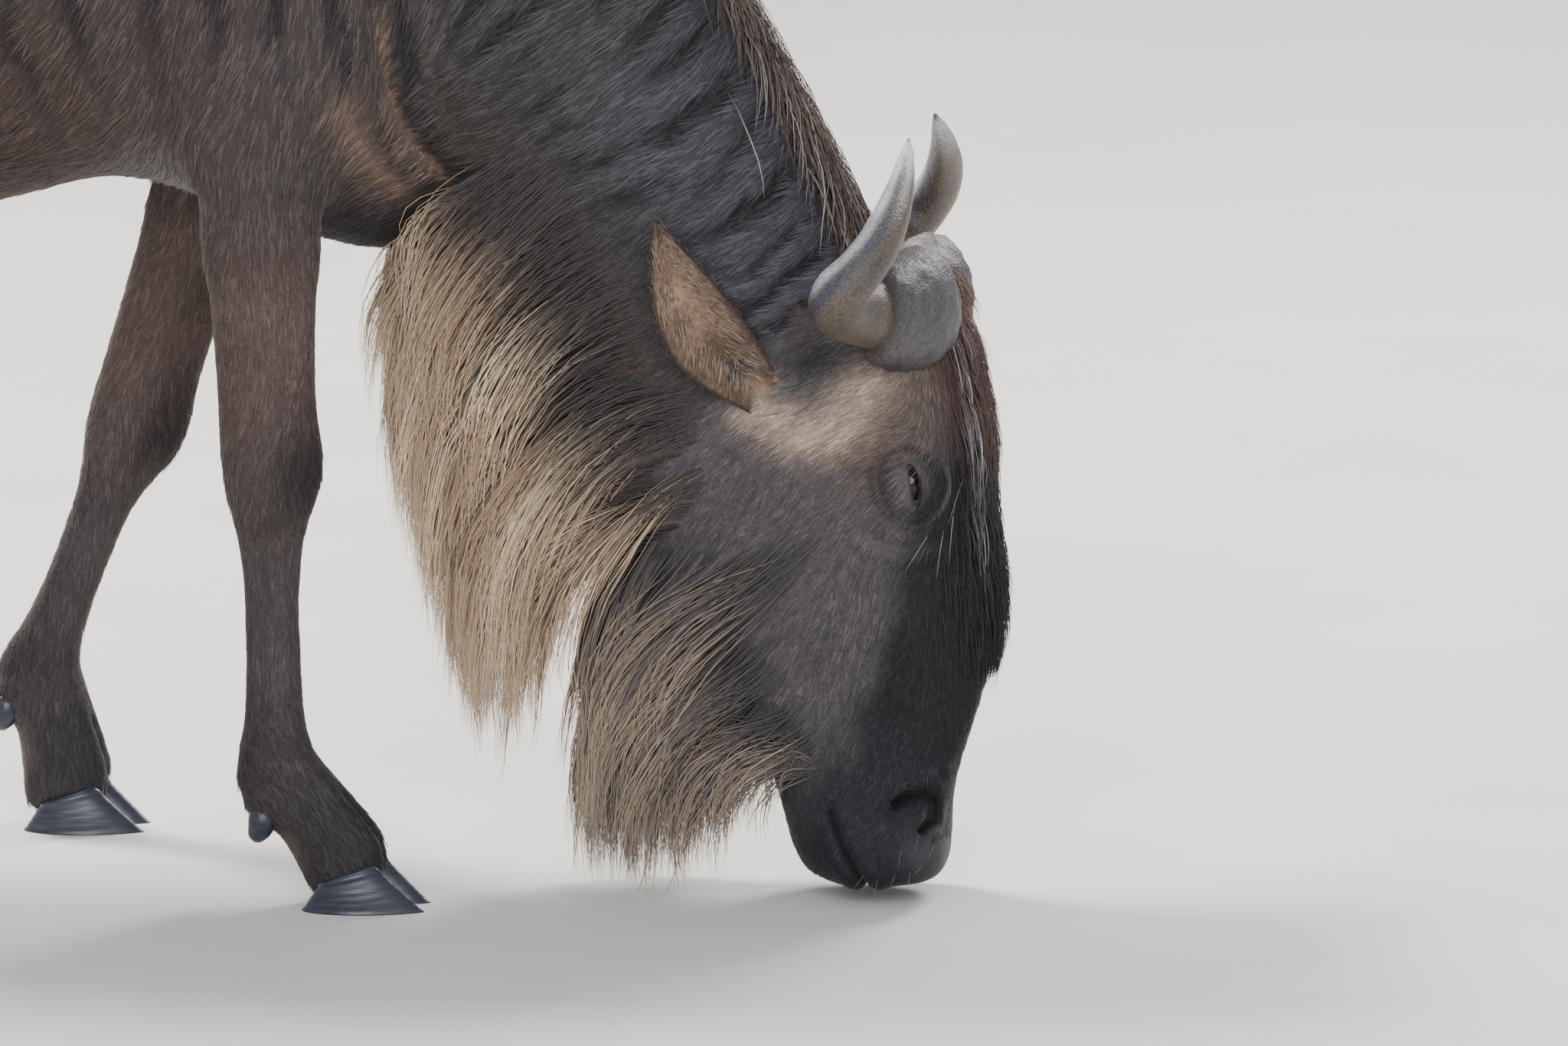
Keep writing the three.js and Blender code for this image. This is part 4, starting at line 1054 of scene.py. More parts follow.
def noise_node(nodes, links, scale, detail, coordinates):
    node = nodes.new("ShaderNodeTexNoise")
    node.inputs["Scale"].default_value = scale
    node.inputs["Detail"].default_value = detail
    links.new(coordinates, node.inputs["Vector"])
    return node


def ramp_node(nodes, links, value, stops):
    node = nodes.new("ShaderNodeValToRGB")
    for element, (at, colour) in zip(node.color_ramp.elements, stops):
        element.position = at
        element.color = (*colour, 1)
    links.new(value, node.inputs["Fac"])
    return node.outputs["Color"]


def multiply_node(nodes, links, first, second):
    node = nodes.new("ShaderNodeMix")
    node.data_type = "RGBA"
    node.blend_type = "MULTIPLY"
    node.inputs["Factor"].default_value = 1
    links.new(first, node.inputs["A"])
    links.new(second, node.inputs["B"])
    return node.outputs["Result"]


def bump_node(nodes, links, height, strength, distance, shader):
    node = nodes.new("ShaderNodeBump")
    node.inputs["Strength"].default_value = strength
    node.inputs["Distance"].default_value = distance
    links.new(height, node.inputs["Height"])
    links.new(node.outputs["Normal"], shader.inputs["Normal"])


def place_node(nodes):
    return nodes.new("ShaderNodeTexCoord").outputs["Object"]


def stretched(nodes, links, scale):
    node = nodes.new("ShaderNodeMapping")
    node.inputs["Scale"].default_value = scale
    links.new(place_node(nodes), node.inputs["Vector"])
    return node.outputs["Vector"]


def painted(nodes, links, shader, scale, detail, stops, strength):
    """Base colour from the colours of the points, with a fine grain in tone and relief."""
    colour = nodes.new("ShaderNodeVertexColor")
    colour.layer_name = "Coat"
    grain = noise_node(nodes, links, scale, detail, place_node(nodes)).outputs["Fac"]
    mixed = multiply_node(nodes, links, colour.outputs["Color"], ramp_node(nodes, links, grain, stops))
    links.new(mixed, shader.inputs["Base Color"])
    bump_node(nodes, links, grain, strength, 0.002, shader)


def hair_material(name, roughness, specular, sheen, spread):
    made, nodes, links, shader = new_material(name, roughness, specular)
    shader.inputs["Sheen Weight"].default_value = sheen
    shader.inputs["Sheen Roughness"].default_value = 0.4
    painted(nodes, links, shader, 260, 3, [(0.3, (1 - spread,) * 3), (0.7, (1, 1, 1))], 0.5)
    return made


def horn_material():
    made, nodes, links, shader = new_material("horn", 0.42, 0.45)
    painted(nodes, links, shader, 420, 5, [(0.38, (0.5, 0.5, 0.52)), (0.6, (1, 1, 1))], 0.6)
    return made


def hoof_material():
    made, nodes, links, shader = new_material("hoof", 0.33)
    grain = noise_node(nodes, links, 60, 4, stretched(nodes, links, (1, 1, 6))).outputs["Fac"]
    tone = ramp_node(nodes, links, grain, [(0.3, srgb(27, 30, 38)), (0.7, srgb(44, 50, 64))])
    links.new(tone, shader.inputs["Base Color"])
    bump_node(nodes, links, grain, 0.25, 0.001, shader)
    return made


def eye_material():
    made, nodes, links, shader = new_material("eye", 0.08, 0.3)
    grain = noise_node(nodes, links, 180, 3, place_node(nodes)).outputs["Fac"]
    tone = ramp_node(nodes, links, grain, [(0.3, srgb(14, 9, 8)), (0.75, srgb(44, 28, 20))])
    links.new(tone, shader.inputs["Base Color"])
    return made


def floor_material():
    made, nodes, links, shader = new_material("floor", 0.9)
    grain = noise_node(nodes, links, 3, 4, place_node(nodes)).outputs["Fac"]
    tone = ramp_node(nodes, links, grain, [(0.3, (0.6, 0.585, 0.56)), (0.7, (0.64, 0.625, 0.6))])
    links.new(tone, shader.inputs["Base Color"])
    return made


MATERIALS = {
    "skin": hair_material("skin", 0.75, 0.25, 0.1, 0.35),
    "coat": hair_material("coat", 0.6, 0.35, 0.15, 0.2),
    "hair": hair_material("long_hair", 0.5, 0.35, 0.1, 0.15),
    "horn": horn_material(),
    "hoof": hoof_material(),
    "eye": eye_material(),
}


# Strands and tufts

PIECE_TRIANGLES = 190000
PATCH = 0.003
STEPS = {"short": 4, "lying": 6, "hanging": 8}
STRAND_TAPER = {
    4: np.array([0.9, 1, 0.9, 0.55, 0]),
    6: np.array([0.9, 1, 1, 0.9, 0.7, 0.4, 0]),
    8: np.array([0.8, 1, 1, 1, 0.95, 0.85, 0.7, 0.42, 0]),
}


def amount(full, quick):
    return full


def random_phases(count):
    return rng.uniform(0, 6.28, (count, 2))


def spread_normals(mesh, normals):
    mesh.normals_split_custom_set_from_vertices(unit(normals).astype(np.float32))


def strand_pieces(name, curves, outward, widths, colours, slot="coat", kind="hair", flat=0.9):
    """The strands as one piece, or as a few numbered ones where they are too many for one."""
    most = PIECE_TRIANGLES // (6 * (curves.shape[1] - 1))
    parts = math.ceil(len(curves) / most)
    for number in range(parts):
        mine = slice(number, None, parts)
        label = f"{name}_{number + 1}" if parts > 1 else name
        strand_piece(label, curves[mine], outward[mine], widths[mine], colours[mine], slot, kind, flat)


def strand_piece(name, curves, outward, widths, colours, slot, kind, flat):
    """Joined three-sided strands along curves of equal length: curves (n, s + 1, 3) in millimetres,
    the side that faces out (n, 3), half widths (n,) and colours (n, s + 1, 3)."""
    count, rings = curves.shape[0], curves.shape[1] - 1
    tangent = unit(np.gradient(curves, axis=1))
    normal = outward[:, None, :] - tangent * np.sum(outward[:, None, :] * tangent, 2, keepdims=True)
    normal = unit(normal)
    across = np.cross(tangent, normal)
    size = (widths[:, None] * STRAND_TAPER[rings][None, :])[:, :-1, None]
    middle = curves[:, :-1]
    side = across[:, :-1] * size
    up = normal[:, :-1] * size
    corners = np.stack([middle + side, middle + up * flat, middle - side], 2)
    points = np.concatenate([corners.reshape(count, rings * 3, 3), curves[:, -1:]], 1)
    low_side = normal[:, :-1] * 0.25
    shade = np.stack([unit(across[:, :-1] - low_side), normal[:, :-1], unit(-across[:, :-1] - low_side)], 2)
    shade = np.concatenate([shade.reshape(count, rings * 3, 3), normal[:, -1:]], 1)
    tint = np.repeat(colours[:, :-1, None], 3, 2).reshape(count, rings * 3, 3)
    tint = np.concatenate([tint, colours[:, -1:]], 1)
    tris = []
    for i in range(rings - 1):
        for k in range(3):
            a, b = i * 3 + k, i * 3 + (k + 1) % 3
            tris += [(a, a + 3, b), (b, a + 3, b + 3)]
    top = (rings - 1) * 3
    tris += [(top, rings * 3, top + 1), (top + 1, rings * 3, top + 2), (top + 2, rings * 3, top), (0, 1, 2)]
    tris = np.array(tris)
    each = rings * 3 + 1
    index = (tris[None] + (np.arange(count) * each)[:, None, None]).reshape(-1, 3)
    piece = mesh_object(name, points.reshape(-1, 3), index, slot)
    add_colours(piece.data, tint.reshape(-1, 3))
    along = np.concatenate([np.repeat(np.linspace(0, 1, rings), 3), [1]])
    aside = np.concatenate([np.tile([-0.5, 0, 0.5], rings), [0]])
    patch_uv(piece.data, curves[:, 0], aside, along, index)
    spread_normals(piece.data, shade.reshape(-1, 3))
    piece.data.materials.append(MATERIALS[kind])


def patch_uv(mesh, roots, aside, along, index):
    """Each strand is a small patch at its root's place on the unwrap of the body."""
    centre = chart.unwrap(roots)
    u = centre[:, 0:1] + PATCH * aside[None]
    v = centre[:, 1:2] + PATCH * (along[None] - 0.5)
    flat = np.stack([u.ravel(), v.ravel()], 1)
    layer = mesh.uv_layers.new(name="OFBake")
    layer.data.foreach_set("uv", flat[index.ravel()].astype(np.float32).ravel())


def bezier(root, second, third, end, steps, until=1.0):
    """Curves by four control points each."""
    t = np.linspace(0, until, steps + 1)[None, :, None]
    root, second, third, end = (p[:, None, :] for p in (root, second, third, end))
    return (1 - t) ** 3 * root + 3 * t * (1 - t) ** 2 * second + 3 * t * t * (1 - t) * third + t ** 3 * end


def wavy(curves, amount, length, phases):
    """Adds a gentle wave to strands, growing from the root."""
    steps = curves.shape[1]
    size = np.linalg.norm(np.diff(curves, axis=1), axis=2).cumsum(1)
    size = np.concatenate([np.zeros((len(curves), 1)), size], 1)
    grow = np.linspace(0, 1, steps)[None] ** 0.7
    first = np.sin(size * (2 * math.pi / length) + phases[:, 0:1]) * grow * amount
    second = np.sin(size * (2 * math.pi / (length * 1.3)) + phases[:, 1:2]) * grow * amount
    moved = curves.copy()
    moved[:, :, 0] += first
    moved[:, :, 1] += second
    return moved


def blend_along(root, tip, steps, power=1.0):
    """Colours along strands from root to tip."""
    t = (np.linspace(0, 1, steps + 1) ** power)[None, :, None]
    return root[:, None, :] * (1 - t) + tip[:, None, :] * t


# Direction in which the coat lies, at places on the right side: [x, y, z], [dx, dy, dz]
LIE_KEYS = [
    ([-400, -60, 1180], [-1, 0, -0.05]), ([-400, -210, 900], [-0.9, 0, -0.5]),
    ([-300, -60, 625], [-1, 0, 0]), ([-100, -190, 950], [-0.6, 0, -0.8]),
    ([30, -150, 1100], [-0.7, 0, -0.7]), ([20, -150, 850], [-0.3, 0, -1]),
    ([-950, -120, 1080], [-0.8, 0, -0.6]), ([-1060, -60, 950], [-0.2, 0, -1]),
    ([-880, -170, 820], [-0.25, 0, -1]), ([-600, -200, 1000], [-0.9, 0, -0.4]),
    ([0, -150, 600], [0, 0, -1]), ([0, -150, 300], [0, 0, -1]),
    ([-200, -150, 300], [-0.1, 0, -1]), ([-950, -120, 500], [-0.1, 0, -1]),
    ([-950, -120, 200], [0, 0, -1]), ([40, -150, 90], [0.5, 0, -1]),
    ([130, -60, 620], [-0.9, 0, -0.3]), ([200, -100, 950], [-0.6, 0, -0.8]),
    ([200, -60, 1120], [-0.4, -0.5, -0.7]), ([330, -60, 950], [-0.6, -0.4, -0.6]),
    ([330, -110, 780], [-0.9, 0, -0.45]), ([300, -100, 620], [-0.85, 0, -0.55]),
    ([430, -70, 780], [-0.7, -0.4, -0.5]), ([420, -95, 640], [-0.85, 0, -0.5]),
    ([470, -80, 560], [-0.8, 0, -0.3]), ([390, -80, 480], [-0.85, 0, -0.55]),
    ([500, -90, 400], [-0.65, 0, -0.75]), ([430, -80, 320], [-0.7, 0, -0.75]),
    ([620, -60, 470], [-0.2, 0, -1]), ([560, -90, 450], [-0.8, 0, -0.4]),
    ([650, -20, 300], [0, 0, -1]), ([600, -70, 300], [-0.25, 0, -1]),
    ([540, -60, 180], [-0.4, 0, -0.95]), ([620, -50, 100], [-0.2, 0, -1]),
    ([500, -40, 90], [-0.5, 0, -0.85]),
]


def lie(points, normals):
    """Unit direction of the coat along the skin."""
    side = np.where(points[:, 1] < 0, 1.0, -1.0)
    mirrored = points * np.stack([np.ones(len(points)), side, np.ones(len(points))], 1)
    total = np.zeros((len(points), 3))
    weight = np.zeros(len(points))
    for place, way in LIE_KEYS:
        far = np.sum((mirrored - place) ** 2, axis=1) + 900
        share = 1 / far ** 2
        total += share[:, None] * unit(np.array(way, float))
        weight += share
    direction = total / weight[:, None]
    direction[:, 1] *= side
    direction += 0.16 * np.stack([noise(points, 90, 50 + k) for k in range(3)], 1)
    direction -= normals * np.sum(direction * normals, 1, keepdims=True)
    return unit(direction)


TUFT_COUNT = 158000
TUFTS_A_PIECE = 45000
TUFT_LENGTH = 24
TUFT_HALF_WIDTH = 1.3
TUFT_DEPTH = 0.6


def shin_share(points):
    return (1 - step(points[:, 2], 560, 680)) * (1 - head_weight(points))


def coat_roots(points, normals, tris):
    """Random places on the skin for the tufts, closest together on face and legs."""
    corners = points[tris]
    area = np.linalg.norm(np.cross(corners[:, 1] - corners[:, 0], corners[:, 2] - corners[:, 0]), axis=1) / 2
    middle = corners.mean(1)
    dense = 1 + 1.9 * head_weight(middle) + 1.3 * shin_share(middle) + 0.25 * step(middle[:, 0], 0, 200)
    bare = bare_places(points) * 1.0
    dense = dense * (1 - bare[tris].max(1))
    chance = area * dense
    count = amount(TUFT_COUNT, TUFT_COUNT // 3)
    pick = rng.choice(len(tris), count, p=chance / chance.sum())
    a, b = rng.random(count), rng.random(count)
    flip = a + b > 1
    a, b = np.where(flip, 1 - a, a), np.where(flip, 1 - b, b)
    shares = np.stack([1 - a - b, a, b], 1)[:, :, None]
    root = np.sum(corners[pick] * shares, 1)
    normal = unit(np.sum(normals[tris[pick]] * shares, 1))
    return root, normal


def build_coat(points, normals, tris):
    """Short tufts that lie along the skin, smallest on face and legs."""
    root, normal = coat_roots(points, normals, tris)
    count = len(root)
    part, place, angle = chart.find(root)
    colours = markings(root, part, place, angle)
    direction = lie(root, normal)
    face = head_weight(root)
    shin = shin_share(root)
    muzzle = face * (1 - step(root[:, 2], 110, 200))
    length = TUFT_LENGTH - 10 * face - 9 * shin - 5 * muzzle
    length = length * rng.uniform(0.7, 1.3, count)
    width = (TUFT_HALF_WIDTH - 0.5 * face - 0.4 * shin) * rng.uniform(0.6, 1.3, count)
    lift = (0.1 + 0.05 * rng.random(count)) * (1 - 0.3 * shin)
    across = np.cross(direction, normal)
    sweep = across * rng.normal(0, 0.13, count)[:, None]
    way = unit(direction + normal * lift[:, None] + sweep)
    base = root - normal * TUFT_DEPTH
    corners = np.stack([
        base + across * width[:, None],
        base + normal * (0.7 + 0.45 * width[:, None]),
        base - across * width[:, None],
        base + way * length[:, None],
    ], 1)
    tone = rng.uniform(0.5, 1.42, count)[:, None] * (1 + 0.18 * noise(root, 14, 60))[:, None]
    tint = np.stack([colours * tone * 0.8, colours * tone, colours * tone * 0.8, colours * tone * 1.25], 1)
    shade = np.stack([
        unit(normal + 0.5 * across),
        normal,
        unit(normal - 0.5 * across),
        unit(normal + 0.3 * direction),
    ], 1)
    tris_each = np.array([(0, 3, 1), (1, 3, 2), (2, 3, 0), (0, 1, 2)])
    aside = np.array([-0.5, 0, 0.5, 0])
    along = np.array([0, 0, 0, 1])
    order = np.argsort(root[:, 0])
    for number, start in enumerate(range(0, count, TUFTS_A_PIECE)):
        mine = order[start:start + TUFTS_A_PIECE]
        index = (tris_each[None] + (np.arange(len(mine)) * 4)[:, None, None]).reshape(-1, 3)
        piece = mesh_object(f"coat_{number + 1}", corners[mine].reshape(-1, 3), index, "coat")
        add_colours(piece.data, tint[mine].reshape(-1, 3))
        patch_uv(piece.data, root[mine], aside, along, index)
        spread_normals(piece.data, shade[mine].reshape(-1, 3))
        piece.data.materials.append(MATERIALS["coat"])


# Long hair: where a bed of it grows, where its tips hang, and its locks and colours from root to tip

FRINGE = {
    "along": (4.2, 8.95),
    "round": 1.45,
    "tips": [(88, 496), (96, 412), (108, 336), (128, 256), (150, 178), (164, 132), (190, 146), (208, 126)],
    "lies": [(-0.55, -0.84), (-0.93, -0.36), (-1.0, -0.02), (-1.0, 0.12)],
    "start": (50, 150),
    "fall": 110,
    "gather": 0.42,
    "locks": 210,
    "strands": 28,
    "fringe": 0.28,
    "late": 0.2,
    "short_end": 0.0,
    "colours": (srgb(70, 62, 60), srgb(192, 160, 130), srgb(255, 232, 196)),
    # painted rim light: how much paler the tips are at the rear edge and under the middle line
    "rim": (0.35, 0.1, 0.5, 0.15),
}
BEARD = {
    "along": (5.2, 10.75),
    "round": 1.3,
    "tips": [(274, 110), (280, 34), (288, 14), (312, 11), (348, 18), (388, 44), (430, 72)],
    "lies": [(-0.42, -0.9), (-0.6, -0.8), (-0.66, -0.75)],
    "start": (60, 60),
    "fall": 100,
    "gather": 0.5,
    "locks": 170,
    "strands": 25,
    "fringe": 0.32,
    "late": 0.0,
    "short_end": 0.8,
    "colours": (srgb(76, 70, 71), srgb(122, 112, 110), srgb(196, 172, 144)),
    # painted rim light: how much paler the tips are at the rear edge and under the middle line
    "rim": (0.45, 0.0, 0.45, 0.0),
}
STRAND_HALF_WIDTH = 0.55
# share of the hair's curve that the broad dark locks of painted shadow reach
SHADOW_LOCKS_END = 0.86


def curve_through(table, share):
    """Points of a table at shares of its length."""
    table = np.array(table, float)
    at = share * (len(table) - 1)
    return np.stack([np.interp(at, np.arange(len(table)), table[:, k]) for k in range(table.shape[1])], 1)


def hanging_curves(loft, bed, u, turn, layer, jitter):
    """Curves of hair that sets out along its lie and then hangs, for places u and angles turn."""
    place = bed["along"][0] + (bed["along"][1] - bed["along"][0]) * u
    angle = math.pi + turn
    point = loft.point(place, angle)
    normal = loft.normal(place, angle)
    tip = curve_through(bed["tips"], np.clip(u - 0.05 * layer, 0, 1))
    high = 1 - bed["fringe"] * layer
    # hair at the outer edge of the bed is shorter and hangs from nearer its root
    edge = np.maximum(step(np.abs(turn) / bed["round"], 0.72, 1.12), bed["short_end"] * step(u, 0.86, 1))
    high = high * (1 - 0.5 * edge * (0.5 + 0.5 * np.sin(u * 517)))
    drop = point[:, 2] - tip[:, 1]
    inward = 0.2 * layer + (0.75 - 0.2 * layer) * (1 - high) * edge
    end = np.stack([
        tip[:, 0] + (point[:, 0] - tip[:, 0]) * inward + jitter[:, 0],
        point[:, 1] * (bed["gather"] + 0.3 * layer + 0.2 * edge) + jitter[:, 1],
        point[:, 2] - drop * high + jitter[:, 2],
    ], 1)
    lie_way = curve_through(bed["lies"], u)
    way = unit(np.stack([lie_way[:, 0], np.zeros(len(u)), lie_way[:, 1]], 1) + normal * 0.14)
    reach = bed["start"][0] + (bed["start"][1] - bed["start"][0]) * u
    reach = np.minimum(reach, 0.42 * np.linalg.norm(end - point, axis=1))
    root = point - normal * 5
    second = point + way * reach[:, None]
    third = end + np.stack([np.full(len(u), -6.0), np.zeros(len(u)), bed["fall"] * high], 1)
    return root, second, third, end


def lock_waves(curves, phases):
    """A long wave and a short one."""
    curves = wavy(curves, 4.5, 230, phases)
    return wavy(curves, 1.3, 85, phases[:, ::-1] * 1.7)


def hanging_locks(bed):
    """Place, angle, depth in the bed, offset of the tip and phases of each lock."""
    locks = amount(bed["locks"], bed["locks"] // 2)
    u = np.clip(np.linspace(0, 1, locks) + rng.normal(0, 0.03, locks), 0, 1)
    turn = rng.uniform(-1, 1, locks)
    turn = np.sign(turn) * np.abs(turn) ** 0.9 + rng.normal(0, 0.07, locks)
    turn = np.clip(turn, -1.03, 1.03) * bed["round"]
    layer = rng.random(locks) ** 1.8 * 0.8
    layer = np.maximum(layer, step(np.abs(turn), 0.6, 1.4) * 0.85)
    jitter = rng.normal(0, 1, (locks, 3)) * [8, 9, 12]
    return u, turn, layer, jitter, random_phases(locks)


def facing_out(turn, lean):
    """The side of a hanging strand that faces away from the middle of the animal."""
    return np.stack([np.full(len(turn), lean), np.where(turn < 0, 1.0, -1.0), np.zeros(len(turn))], 1)


def build_shadow_locks(name, loft, bed, locks, turned):
    """Broad dark locks beneath, which close the gaps among the fine strands and are painted as the shadow
    among them.
    """
    u, turn, layer, jitter, phases = locks
    steps = STEPS["hanging"]
    curves = bezier(*hanging_curves(loft, bed, u, turn * 0.85, layer, jitter), steps, SHADOW_LOCKS_END)
    curves = lock_waves(curves, phases)
    curves = turn_head(curves) if turned else curves
    curves[:, :, 2] = np.maximum(curves[:, :, 2], HAIR_CLEARANCE + 1)
    root_colour, middle, _ = bed["colours"]
    count = len(u)
    # darker copies of the root and middle colours, as painted shadow beneath the strands
    root_colours = np.tile(root_colour * 0.8, (count, 1))
    colours = blend_along(root_colours, np.tile(middle * 0.5, (count, 1)), steps, 2.0)
    widths = rng.uniform(4.5, 7.5, count)
    strand_pieces(f"{name}_core", curves, facing_out(turn, -0.2), widths, colours, flat=0.3)


def rim_light(bed, u, turn):
    """How much paler the tips are painted, as rim light, at the rear edge of the bed and under its middle
    line.
    """
    rear, start, edge, under = bed["rim"]
    return rear * step(edge - u, start, edge) + under * (1 - step(np.abs(turn), 0.2, 0.9))


def hanging_colours(bed, u, turn, tone):
    """Colours along each strand: dark at its root, paler from its middle to its tip."""
    root_colour, middle, light = bed["colours"]
    count = len(u)
    tip_colour = shades(middle * 0.9, light, np.clip(tone ** 1.6 * 0.9 + rim_light(bed, u, turn), 0, 1))
    middle_colour = shades(middle * 0.8, light, np.clip(1.4 * tone ** 2.6, 0, 1))
    start_colour = np.tile(root_colour, (count, 1)) * (0.6 + 0.5 * rng.random(count))[:, None]
    late = 0.1 * rng.random(count) + 0.14 * step(np.abs(turn) / bed["round"], 0.5, 1.1)
    late = late + bed["late"] * (1 - step(u, 0, 0.5))
    t = np.linspace(0, 1, STEPS["hanging"] + 1)[None, :, None] - late[:, None, None]
    to_middle = step(t, 0.1, 0.42)
    to_tip = step(t, 0.35, 0.85)
    colours = start_colour[:, None] * (1 - to_middle) + middle_colour[:, None] * to_middle
    return colours * (1 - to_tip) + tip_colour[:, None] * to_tip


def build_hanging(name, loft, bed, turned):
    """A bed of long hair: fine strands gathered in locks, over broad dark locks of painted shadow along the
    same locks.
    """
    locks = hanging_locks(bed)
    lock_tone = rng.random(len(locks[0]))
    build_shadow_locks(name, loft, bed, locks, turned)
    each = bed["strands"]
    lock = np.repeat(np.arange(len(lock_tone)), each)
    count = len(lock)
    lock_u, lock_turn, lock_layer, lock_jitter, lock_phases = (value[lock] for value in locks)
    u = np.clip(lock_u + rng.normal(0, 0.022, count), 0, 1)
    turn = lock_turn + np.clip(rng.normal(0, 0.13, count), -0.26, 0.2)
    layer = np.clip(lock_layer + rng.normal(0, 0.1, count), 0, 1)
    jitter = lock_jitter + rng.normal(0, 1, (count, 3)) * [5, 5, 18]
    root, second, third, end = hanging_curves(loft, bed, u, turn, layer, jitter)
    mean_end = np.stack([np.bincount(lock, end[:, k]) / each for k in range(3)], 1)[lock]
    end = end + (mean_end - end) * np.array([0.5, 0.5, 0.0])
    curves = bezier(root, second, third, end, STEPS["hanging"])
    curves = lock_waves(curves, lock_phases + rng.normal(0, 0.3, (count, 2)))
    curves = turn_head(curves) if turned else curves
    curves[:, :, 2] = np.maximum(curves[:, :, 2], HAIR_CLEARANCE)
    tone = lock_tone[lock] * 0.72 + rng.random(count) * 0.28
    colours = hanging_colours(bed, u, turn, tone)
    widths = STRAND_HALF_WIDTH * rng.uniform(0.65, 1.3, count)
    strand_pieces(name, curves, facing_out(turn, -0.25), widths, colours)


def build_mane():
    """Black hair along the crest, lying to both sides and towards the head, with painted pale highlights."""
    count = amount(3000, 1500)
    place = rng.uniform(0.1, 8.3, count)
    turn = rng.normal(0, 0.16, count)
    side = np.where(rng.random(count) < 0.62, -1.0, 1.0)
    point = neck.point(place, turn, 0)
    normal = neck.normal(place, turn)
    ahead = unit(neck.point(place + 0.4, turn, 0) - point)
    aside = np.stack([np.zeros(count), side, np.zeros(count)], 1)
    length = rng.uniform(85, 150, count)
    length = length * (0.65 + 0.35 * step(place, 0.2, 1.5)) * (1 - 0.35 * step(place, 7, 8.3))
    lean = rng.uniform(0.1, 0.55, count)
    rise = rng.uniform(6, 20, count)

    def at(t, height):
        down = normal * (lean * length * t * t * 0.55)[:, None]
        return (point + ahead * (length * t * 0.85)[:, None] + aside * (lean * length * t)[:, None]
                + normal * (height * rise)[:, None] - down)

    curves = bezier(point - normal * 6, at(0.3, 0.9), at(0.65, 1.1), at(1.0, 0.6), STEPS["lying"])
    curves = wavy(curves, 1.6, 90, random_phases(count))
    # a few tips painted pale as highlights
    pale = rng.random(count) ** 6
    base = shades(srgb(36, 32, 34), srgb(104, 80, 64), rng.random(count) * 0.6)
    tip = mix(base * 1.15, srgb(196, 186, 178), pale)
    widths = rng.uniform(0.5, 1.0, count)
    strand_pieces("mane", curves, normal + aside * 0.4, widths, blend_along(base, tip, STEPS["lying"]))


def build_brush():
    """Stiff dark hair down the nose, with a paler ridge on each flank of it."""
    count = amount(2300, 1000)
    place = rng.uniform(0.9, 8.8, count)
    turn = rng.normal(0, 0.3, count)
    length = rng.uniform(36, 78, count) * (1 - 0.4 * step(place, 7, 8.8))
    rise = rng.uniform(3, 15, count)
    rise = rise * (1 - 0.5 * step(np.abs(turn), 0.2, 0.7)) * (1 - 0.4 * step(place, 6, 8.8))
    # the paler ridge on each flank: pale bristles, with a painted highlight on them
    ridge = swell(np.abs(turn) - 0.4, 0.12) * (1 - step(place, 5.5, 7))
    clump = 0.6 + 0.4 * np.sin(place * 9 + 5 * turn)
    pale = np.clip(ridge * clump * rng.random(count) * 1.6, 0, 1) ** 1.7
    dark = shades(srgb(26, 24, 28), srgb(84, 60, 50), 0.7 * (1 - step(place, 2.5, 4.5)))
    tip = mix(dark, srgb(206, 204, 212), pale)
    widths = rng.uniform(0.4, 0.9, count)
    point = head.point(place, turn, 0)
    normal = head.normal(place, turn)
    ahead = unit(head.point(place + 0.35, turn, 0) - point)

    def at(t, height):
        return point + ahead * (length * t)[:, None] + normal * (height * rise)[:, None]

    sway = rng.normal(0, 0.12, (count, 1)) * length[:, None] * np.array([[0, 1, 0]])
    curves = bezier(point - normal * 4, at(0.3, 0.8), at(0.65, 1), at(1.0, 0.55) + sway, STEPS["lying"])
    outward = turn_head(normal + HEAD_PIVOT) - HEAD_PIVOT
    colours = blend_along(dark, tip, STEPS["lying"])
    strand_pieces("nose_brush", turn_head(curves), outward, widths, colours, "face")


def build_forelock():
    """Short brown hair that stands before the seam between the horns."""
    count = 420
    root = np.stack([rng.uniform(606, 616, count), rng.normal(0, 13, count), rng.uniform(508, 584, count)], 1)
    side = np.sign(root[:, 1])
    length = rng.uniform(24, 44, count)
    way = unit(np.stack([
        rng.uniform(0.3, 0.8, count),
        side * rng.uniform(0, 0.5, count),
        rng.uniform(-1.0, -0.5, count),
    ], 1))
    droop = np.array([0.0, 0, -0.5])
    second = root + way * (length * 0.35)[:, None] + [4, 0, 0]
    third = root + way * (length * 0.7)[:, None]
    end = root + (way + droop) * (length * 0.9)[:, None]
    curves = wavy(bezier(root, second, third, end, STEPS["lying"]), 1.5, 40, random_phases(count))
    base = shades(srgb(48, 36, 32), srgb(104, 74, 58), rng.random(count))
    outward = np.tile([1.0, 0, 0.2], (count, 1))
    widths = rng.uniform(0.45, 0.8, count)
    colours = blend_along(base, base * 1.4, STEPS["lying"])
    strand_pieces("forelock", turn_head(curves), outward, widths, colours, "face")


